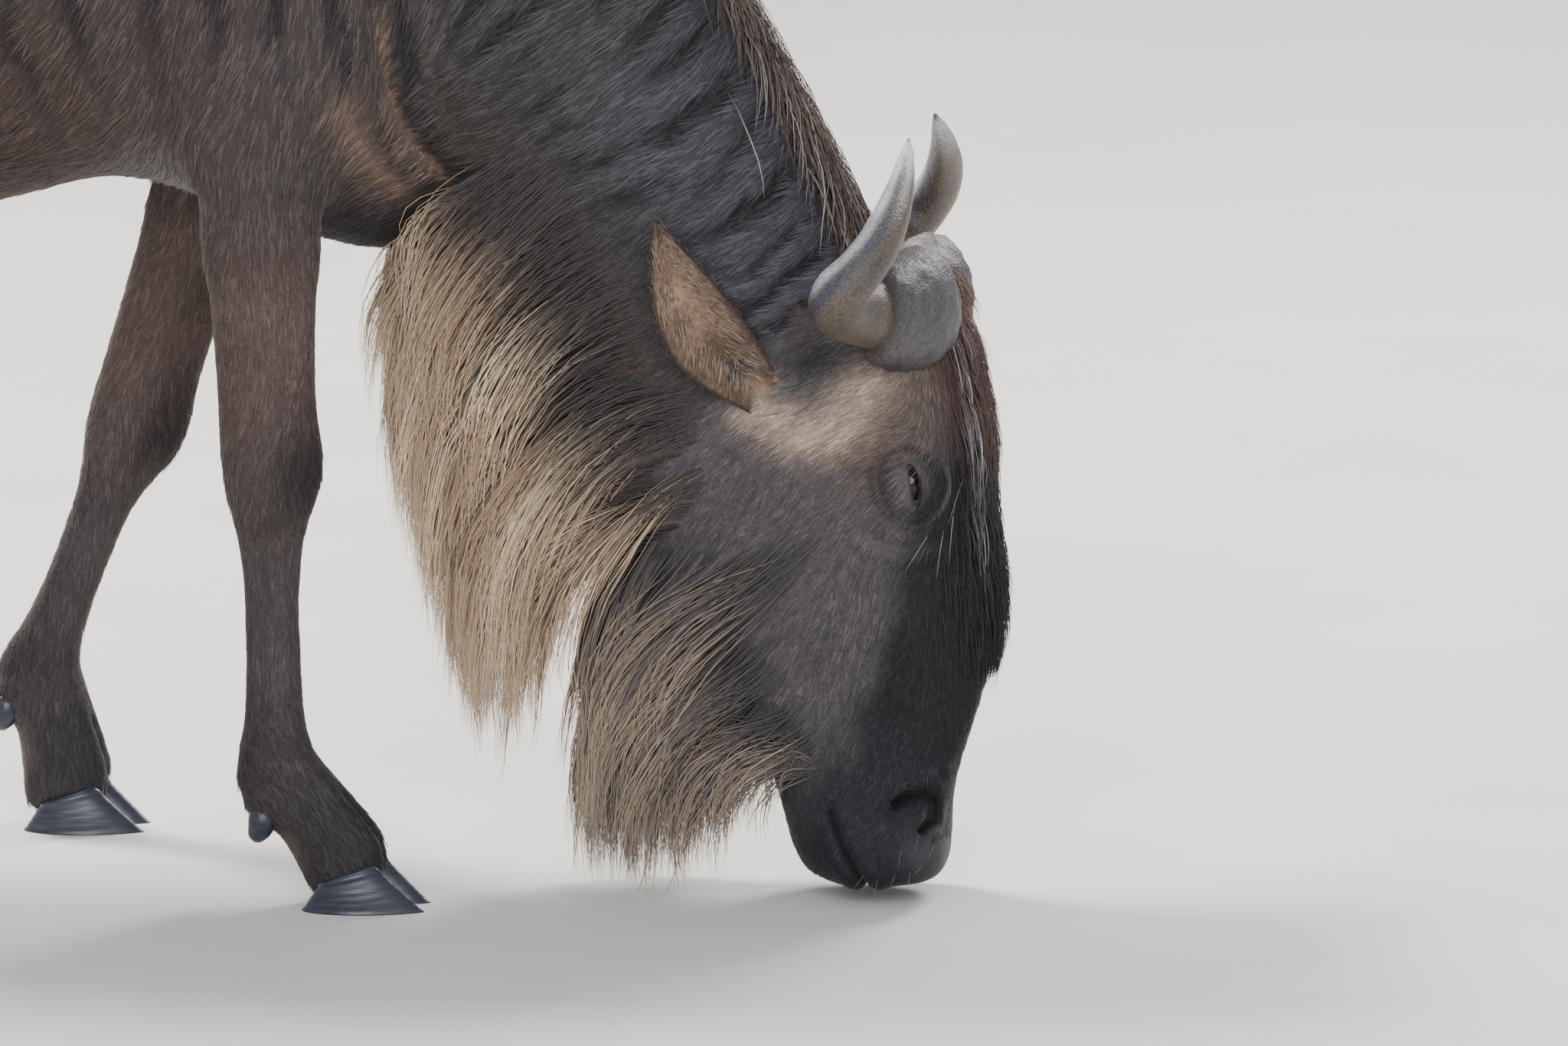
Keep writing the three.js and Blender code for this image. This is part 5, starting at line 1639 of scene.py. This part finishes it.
def build_tail():
    """Long black hair that hangs from the lower half of the dock."""
    count = amount(1300, 700)
    place = rng.uniform(1.6, 5.6, count)
    angle = rng.uniform(0, 2 * math.pi, count)
    root = dock.point(place, angle)
    outward = unit(np.stack([np.cos(angle), np.sin(angle), np.zeros(count)], 1))
    length = rng.uniform(220, 350, count) * (0.55 + 0.45 * step(place, 1.5, 3.5))
    spread = rng.uniform(6, 24, count)

    def at(wide, drop):
        fall = np.stack([14 * drop * np.ones(count), np.zeros(count), -length * drop], 1)
        return root + outward * (spread * wide)[:, None] + fall

    end = at(0.3, 1)
    end[:, 2] = np.maximum(end[:, 2], rng.uniform(402, 470, count))
    curves = bezier(root - outward * 3, at(1.1, 0.2), at(1.0, 0.7), end, STEPS["hanging"])
    curves = wavy(curves, 3.0, 120, random_phases(count))
    base = shades(srgb(34, 30, 31), srgb(74, 58, 48), rng.random(count) * 0.5)
    colours = blend_along(base, base * 1.3, STEPS["hanging"])
    widths = rng.uniform(0.9, 1.5, count)
    strand_pieces("tail_tuft", curves, outward, widths, colours, "tail_hair")


# Ears

def ear_frame(side):
    """Root of an ear, its axis and length, the way its cup faces, and the way across it."""
    root = mirrored(EAR["root"], side)
    tip = mirrored(EAR["tip"], side)
    axis = tip - root
    length = np.linalg.norm(axis)
    axis /= length
    facing = mirrored(EAR["facing"], side)
    facing -= axis * (facing @ axis)
    facing /= np.linalg.norm(facing)
    across = np.cross(axis, facing) * -side
    return root, axis, length, facing, across


def ear_point(side, t, u, back=0.0):
    """A point of the ear's cup: t from root to tip, u from -1 to 1 across it, back 0 or 1."""
    root, axis, length, facing, across = ear_frame(side)
    outline = np.array(EAR["outline"], float)
    wide = np.interp(t * (len(outline) - 1), np.arange(len(outline)), outline)
    half_width = EAR["width"] / 2 * wide
    cup = EAR["cup"] * (1 - 0.8 * t)
    thick = EAR["thickness"] * (1.5 - t)
    fall = (1 - u * u) * (cup + back * thick) + back * thick * 0.5
    curl = 5.0 * swell(np.abs(u) - 1, 0.22) * (1 - t) * (1 - back)
    bow = EAR["bow"] * np.sin(math.pi * t)
    return (root + axis * (length * t)[:, None] + across * (bow + u * half_width)[:, None]
            - facing * (fall - curl * 0.4)[:, None])


def build_ear(side, label):
    """A cup with a front and a back, tan inside and dark at the rim."""
    along, wide = 60, 41
    front_u = np.linspace(-1, 1, wide)
    u = np.concatenate([front_u, front_u[::-1][1:-1]])
    back = np.concatenate([np.zeros(wide), np.ones(wide - 2)])
    height = np.repeat(np.linspace(0, 1, along), len(u))
    aside = np.tile(u, along)
    behind = np.tile(back, along)
    points = ear_point(side, height, aside, behind)
    ripple = 0.8 * noise(points, 30, 70)
    facing = ear_frame(side)[3]
    points = points + facing * (ripple * (1 - np.abs(aside)))[:, None]
    points, tris = skin_of_rings(points, along, len(u))
    points = turn_head(points)
    piece = solid_piece(f"ear_{label}_cup", points, tris, "ear", "skin", f"ear_{label}")
    edge = np.abs(np.concatenate([aside, [0, 0]]))
    height = np.concatenate([height, [0, 1]])
    inner = shades(srgb(164, 134, 112), srgb(104, 82, 72), 0.4 + 0.4 * noise(points, 34, 71))
    inner = mix(inner, srgb(70, 52, 46), 0.7 * swell(edge, 0.3) * (1 - step(height, 0.3, 0.6)))
    inner = mix(inner, srgb(52, 40, 37), step(edge, 0.84, 0.97) * 0.95)
    inner = mix(inner, srgb(62, 46, 40), step(height, 0.86, 0.98) * 0.8)
    outer = shades(srgb(70, 60, 58), srgb(96, 80, 70), 0.5 + 0.5 * noise(points, 30, 72))
    add_colours(piece.data, mix(inner, outer, np.concatenate([behind, [0, 0]])))
    ear_hair(side, label)
    ear_fur(side, label)


def ear_hair(side, label):
    """Pale hair inside the cup, dark at its rim."""
    _, axis, _, facing, across = ear_frame(side)
    count = amount(1500, 700)
    t = rng.uniform(0.0, 0.96, count)
    u = np.sign(rng.uniform(-1, 1, count)) * rng.random(count) ** 0.55
    point = ear_point(side, t, u)
    length = 10 + 24 * (1 - 0.7 * t) * (0.3 + 0.7 * step(np.abs(u), 0.2, 0.7)) * rng.random(count)
    inward = -np.sign(u) * (0.3 + 0.25 * np.abs(u)) * (1 - 0.6 * t) + rng.normal(0, 0.1, count)
    way = unit(axis * 0.9 + across * inward[:, None] + facing * 0.22)
    lift = facing * (3.5 + 3 * rng.random(count))[:, None]
    second = point + way * (length * 0.3)[:, None] + lift * 0.6
    third = point + way * (length * 0.65)[:, None] + lift
    end = point + way * length[:, None] + lift * 0.6
    curves = turn_head(bezier(point - facing * 1.5, second, third, end, STEPS["short"]))
    base = shades(srgb(136, 110, 92), srgb(84, 66, 58), rng.random(count) * 0.7)
    tip = mix(base, srgb(220, 198, 172), 0.15 + 0.85 * rng.random(count) ** 1.5)
    rim = step(np.maximum(np.abs(u), t * 1.04), 0.85, 1) * 0.8
    base = mix(base, srgb(60, 46, 42), rim)
    tip = mix(tip, srgb(70, 52, 46), rim)
    widths = rng.uniform(0.25, 0.45, count)
    colours = blend_along(base, tip, STEPS["short"])
    strand_pieces(f"ear_{label}_hair", curves, np.tile(facing, (count, 1)), widths, colours, "ear")


def ear_fur(side, label):
    """Short fur on the back of the cup."""
    _, axis, _, facing, across = ear_frame(side)
    count = amount(1200, 900)
    t = rng.uniform(0.0, 0.99, count)
    u = rng.uniform(-1, 1, count)
    point = ear_point(side, t, u, np.ones(count))
    outer = unit(-facing * np.sqrt(np.maximum(1 - u * u, 0.05))[:, None] + across * u[:, None])
    way = unit(axis + outer * 0.12 + across * rng.normal(0, 0.1, count)[:, None])
    length = rng.uniform(8, 15, count) * (1 - 0.3 * t)
    second = point + way * (length * 0.35)[:, None] + outer * 0.6
    third = point + way * (length * 0.7)[:, None] + outer * 0.8
    end = point + way * length[:, None]
    curves = turn_head(bezier(point - outer * 1.2, second, third, end, STEPS["short"]))
    base = shades(srgb(64, 55, 54), srgb(104, 86, 76), rng.random(count))
    widths = rng.uniform(0.6, 1.0, count)
    colours = blend_along(base, base * 1.2, STEPS["short"])
    strand_pieces(f"ear_{label}_back", curves, outer, widths, colours, "ear", "coat")


# Horns, hooves and eyes

RING_SPACING = 7.0


def horn_rings(side, along, sides):
    """Rings of a horn from the boss outwards, with the middle of each and how far along it lies."""
    rows = np.array(HORN, float) * [1, side, 1, 1, 1]
    loft = Loft(np.concatenate([rows, np.zeros((len(rows), 3))], 1))
    table = loft.row(np.linspace(0, loft.last, along))
    centre = table[:, 0:3]
    tangent = unit(np.gradient(centre, axis=0))
    reach = np.concatenate([[0], np.linalg.norm(np.diff(centre, axis=0), axis=1).cumsum()])
    boss = 1 + BOSS["swell"] * step(reach, 10, 45) * (1 - step(reach, *BOSS["shoulder"]))
    boss -= 0.06 * swell(reach - BOSS["shoulder"][1], 7)
    angle = round_angles(sides)
    across = np.array([1.0, 0, 0])
    rings = []
    for i in range(along):
        across = across - tangent[i] * (across @ tangent[i])
        across /= np.linalg.norm(across)
        up = np.cross(tangent[i], across)
        shape = np.cos(angle)[:, None] * across * table[i, 3] + np.sin(angle)[:, None] * up * table[i, 4]
        rings.append(centre[i] + shape * boss[i])
    return np.concatenate(rings), np.repeat(centre, sides, 0), np.repeat(reach, sides)


def horn_colours(points, reach, behind):
    """Grey boss with a pale crown and painted shade in the crease at its end, then a brown shaft, blue-grey
    where a shade band is painted along it, with a painted highlight on its rear edge and a pale tip.
    """
    end = reach.max()
    shaft = step(reach, 108, 126)
    colours = shades(srgb(76, 73, 76), srgb(88, 78, 68), shaft)
    colours = mix(colours, srgb(168, 164, 160), 0.5 * (1 - step(reach, 14, 60)) * step(behind, -0.1, 0.6))
    # painted shade in the crease between boss and shaft
    colours = mix(colours, srgb(36, 33, 34), 0.8 * swell(reach - 121, 6))
    # painted blue-grey shade band along the middle of the shaft
    colours = mix(colours, srgb(52, 54, 74), 0.85 * swell(behind - 0.3, 0.22) * step(reach, 150, 220))
    # painted highlight along the rear edge of the shaft
    colours = mix(colours, srgb(190, 192, 200), 0.85 * step(behind, 0.5, 0.85) * shaft)
    colours = mix(colours, srgb(66, 62, 62), 0.55 * np.clip(noise(points, 50, 83), 0, 1))
    colours = mix(colours, srgb(206, 206, 208), 0.7 * step(reach, 345, 420))
    return mix(colours, srgb(66, 60, 56), 0.8 * step(reach, end - 10, end))


def build_horn(side, label):
    """A ringed boss that thins out to a smooth, curved shaft."""
    along, sides = 170, 52
    points, middle, reach = horn_rings(side, along, sides)
    out = unit(points - middle)
    share = np.repeat(np.linspace(0, 1, along), sides)
    wobble = 5 * noise(points, 60, 80)
    grooves = np.maximum(np.sin((reach + wobble) * 2 * math.pi / RING_SPACING), 0) ** 2
    base = 1 - step(reach, 70, 190)
    bumps = -0.8 * grooves * (0.2 + 0.8 * base)
    bumps = bumps + base * 1.1 * noise(points, 16, 81) + (0.2 + base) * 0.6 * noise(points, 7, 82)
    points = points + out * (bumps * (1 - step(share, 0.86, 1)))[:, None]
    points[:, 1] = side * np.maximum(points[:, 1] * side, HORN_PARTING)
    points, tris = skin_of_rings(points, along, sides)
    piece = solid_piece(f"horn_{label}_smooth", turn_head(points), tris, "horn", "horn", f"horn_{label}")
    behind = np.concatenate([out @ unit(np.array([-0.75, 0, 0.65])), [0, 0]])
    add_colours(piece.data, horn_colours(points, np.concatenate([reach, [0, reach[-1]]]), behind))


def claw_rings(leg, inner, levels, sides):
    """Level rings of a claw from its sole up."""
    side, _, joints = LEGS[leg]
    x, y = joints[4][:2]
    outer = -1 if inner else 1
    middle = side * (y + outer * CLAW["offset"])
    rings = []
    for level in levels:
        z = level * CLAW["height"]
        front = x + CLAW["ahead"] * (1 - level * 0.62)
        rear = x - CLAW["behind"] + level * CLAW["lean"]
        half_width = CLAW["half_width"] * (1 - 0.22 * level * level)
        row = [front, z, rear, z - level * CLAW["height"] * 0.35, half_width, 0.36, 1.7, 2.3]
        ring = Loft([row, row]).point(np.zeros(sides), round_angles(sides))
        toe = step(ring[:, 0], x + 10, x + CLAW["ahead"])
        ring[:, 1] += middle - side * outer * CLAW["toe_in"] * toe * (1 - level)
        rings.append(ring)
    return np.concatenate(rings)


def build_hooves():
    """Eight claws with growth rings and a thicker crown, and their dewclaws."""
    levels = np.concatenate([[0, 0.02], np.linspace(0.06, 0.94, 24), [0.98, 1.0]])
    sides = 56
    for leg in LEGS:
        foot = leg.replace("leg", "")
        for inner in (True, False):
            label = f"{foot}_{'inner' if inner else 'outer'}"
            points = claw_rings(leg, inner, levels, sides)
            level = np.repeat(levels, sides)
            growth = 0.12 * np.sin(level * 34 + 2 * noise(points, 50, 90))
            crown = 1.6 * swell(level - 0.9, 0.06)
            middle = points.reshape(len(levels), sides, 3).mean(1).repeat(sides, 0)
            out = unit((points - middle) * [1, 1, 0])
            points = points + out * ((growth + crown - 0.8) * step(level, 0.01, 0.1))[:, None]
            points, tris = skin_of_rings(points, len(levels), sides)
            points[:, 2] = np.maximum(points[:, 2], 0)
            solid_piece(f"claw_{label}", points, tris, "hoof", "hoof", f"hoof_{label}")
            build_dewclaw(label)


def build_dewclaw(label):
    low_corner, high_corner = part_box(f"dewclaw_{label}")
    low_corner = (np.array(low_corner) - ORIGIN) / MM
    high_corner = (np.array(high_corner) - ORIGIN) / MM
    centre = (low_corner + high_corner) / 2
    radii = (high_corner - low_corner) / 2
    points, tris = ellipsoid(np.zeros(3), np.ones(3), 28)
    lower = step(-points[:, 2], -0.2, 1)
    points[:, 0] += 0.18 * (1 - points[:, 2] ** 2) * (points[:, 0] < 0)
    points = points * (radii * [1.25, 1.1, 0.94]) + centre
    points[:, 0] += 3.0 - 2.5 * lower
    points += unit(points - centre) * (0.35 * np.sin(points[:, 2] * 1.9))[:, None]
    solid_piece(f"dewclaw_{label}_horn", points, tris, "hoof", "hoof", f"dewclaw_{label}")


def build_eyes():
    """Balls behind the lids, with lashes and whiskers."""
    for side, label in ((-1, "right"), (1, "left")):
        points, tris = ellipsoid(mirrored(EYE["centre"], side), np.full(3, EYE["radius"]), 64)
        solid_piece(f"eyeball_{label}", turn_head(points), tris, "eye", "eye", f"eye_{label}")
        build_lashes(side, label)
        build_whiskers(side, label)


def build_lashes(side, label):
    """Lashes on the upper lid."""
    count = 80
    along = rng.uniform(-0.95, 0.95, count)
    cosine, sine = math.cos(EYE_AXIS_TILT), math.sin(EYE_AXIS_TILT)
    down = along * SLIT_HALF_LENGTH
    brow = SLIT_SHIFT - SLIT_BEND * along ** 2 + SLIT_HALF_WIDTH * np.sqrt(1 - along ** 2) + 0.8
    ball = EYE["radius"] + LID_THICKNESS + 0.6
    out = np.sqrt(np.maximum(ball ** 2 - (down / LID_STRETCH) ** 2 - brow ** 2, 4)) + 1.0
    offset = np.stack([down * sine + brow * cosine, side * out, brow * sine - down * cosine], 1)
    root = mirrored(EYE["centre"], side) + offset
    length = rng.uniform(7, 12, count)
    way = unit(np.stack([rng.uniform(0.1, 0.5, count), np.full(count, side * 1.0), -0.6 * along - 0.35], 1))
    droop = np.array([0.4, 0, -0.8])
    second = root + way * (length * 0.3)[:, None]
    third = root + way * (length * 0.6)[:, None]
    end = root + way * (length * 0.8)[:, None] + droop * (length * 0.35)[:, None]
    curves = turn_head(bezier(root, second, third, end, STEPS["short"]))
    dark = np.tile(srgb(22, 19, 20), (count, 1))
    outward = np.tile([0.3, side, 0.0], (count, 1))
    colours = blend_along(dark, dark, STEPS["short"])
    strand_pieces(f"lashes_{label}", curves, outward, np.full(count, 0.28), colours, "face")


# Roots of the whiskers in the side view: above and below the eye, and on lips and chin
EYE_WHISKERS = [(640, 408), (634, 398), (628, 374), (618, 356), (606, 348)]
LIP_WHISKERS = [(600, 40), (590, 32), (576, 30), (560, 26), (548, 30), (610, 58), (596, 66), (582, 52)]


def whisker_roots(side):
    """The point of the head nearest to each root in the side view."""
    places = np.repeat(np.linspace(4, 14.6, 90), 80)
    angles = np.tile(np.linspace(0.15, math.pi - 0.15, 80), 90)
    samples = head.point(places, angles)
    nearest = []
    for x, z in EYE_WHISKERS + LIP_WHISKERS:
        nearest.append(np.argmin(np.hypot(samples[:, 0] - x, samples[:, 2] - z)))
    return samples[nearest] * [1, side, 1]


def build_whiskers(side, label):
    """A few long pale whiskers round the eye and short ones on the muzzle."""
    root = whisker_roots(side)
    count = len(root)
    by_eye = np.arange(count) < len(EYE_WHISKERS)
    length = np.where(by_eye, 52, 20) * rng.uniform(0.7, 1.2, count)
    way = unit(np.stack([
        rng.uniform(-0.6, 0.1, count),
        side * rng.uniform(0.2, 0.45, count),
        rng.uniform(-1.0, -0.7, count),
    ], 1))
    lift = np.array([0, side * 6.0, 0])
    end = root + way * length[:, None]
    end[:, 2] = np.maximum(end[:, 2], 6)
    second = root + way * (length * 0.3)[:, None] + lift
    third = root + way * (length * 0.7)[:, None] + lift
    curves = turn_head(bezier(root, second, third, end, STEPS["lying"]))
    curves[:, :, 2] = np.maximum(curves[:, :, 2], HAIR_CLEARANCE)
    pale = np.where(by_eye[:, None], srgb(176, 170, 164), srgb(110, 104, 102))
    outward = np.tile([0.0, side, 0.0], (count, 1))
    colours = blend_along(pale, pale, STEPS["lying"])
    strand_pieces(f"whiskers_{label}", curves, outward, np.full(count, 0.24), colours, "face")


# Floor, light and camera

def build_stage():
    size = 60.0
    mesh = bpy.data.meshes.new("floor")
    corners = [(-size, -size, 0), (size, -size, 0), (size, size, 0), (-size, size, 0)]
    mesh.from_pydata(corners, [], [(0, 1, 2, 3)])
    floor = bpy.data.objects.new("floor", mesh)
    bpy.context.scene.collection.objects.link(floor)
    floor.data.materials.append(floor_material())


def area_light(name, place, target, size, power, colour):
    light = bpy.data.lights.new(name, "AREA")
    light.shape = "DISK"
    light.size = size
    light.energy = power
    light.color = colour
    lamp = bpy.data.objects.new(name, light)
    lamp.location = place
    lamp.rotation_euler = (Vector(target) - Vector(place)).to_track_quat("-Z", "Y").to_euler()
    bpy.context.scene.collection.objects.link(lamp)


def build_lights():
    middle = (0.35, 0, 0.6)
    area_light("key", (-2.2, 1.4, 4.6), middle, 1.4, 560, (1.0, 0.95, 0.86))
    area_light("rim", (2.8, 3.2, 3.4), middle, 1.8, 260, (1.0, 0.96, 0.9))
    area_light("fill", (1.2, -5.0, 2.6), middle, 3.6, 250, (0.95, 0.97, 1.0))
    world = bpy.data.worlds.new("studio")
    world.use_nodes = True
    sky = world.node_tree.nodes["Background"]
    sky.inputs["Color"].default_value = (0.92, 0.94, 1.0, 1)
    sky.inputs["Strength"].default_value = 0.8
    bpy.context.scene.world = world


def build_camera():
    target = np.array(CAMERA_TARGET) * MM + ORIGIN
    level = math.cos(CAMERA_ELEVATION)
    back = np.array([
        math.sin(CAMERA_AZIMUTH) * level,
        -math.cos(CAMERA_AZIMUTH) * level,
        math.sin(CAMERA_ELEVATION),
    ])
    place = Vector(target + back * CAMERA_DISTANCE)
    camera = bpy.data.cameras.new("camera")
    camera.sensor_width = SENSOR_WIDTH
    camera.lens = PIXELS_PER_MM * CAMERA_DISTANCE / MM / PHOTO_WIDTH * SENSOR_WIDTH
    camera.clip_end = 200
    holder = bpy.data.objects.new("camera", camera)
    holder.location = place
    holder.rotation_euler = (Vector(target) - place).to_track_quat("-Z", "Y").to_euler()
    bpy.context.scene.collection.objects.link(holder)
    bpy.context.scene.camera = holder


# Assembly

chart = Chart()
build_camera()
build_lights()
build_stage()
build_coat(*build_skin())
build_hanging("throat_fringe", neck, FRINGE, turned=False)
build_hanging("chin_beard", head, BEARD, turned=True)
build_mane()
build_brush()
build_forelock()
build_tail()
for side, label in ((-1, "right"), (1, "left")):
    build_ear(side, label)
    build_horn(side, label)
build_hooves()
build_eyes()
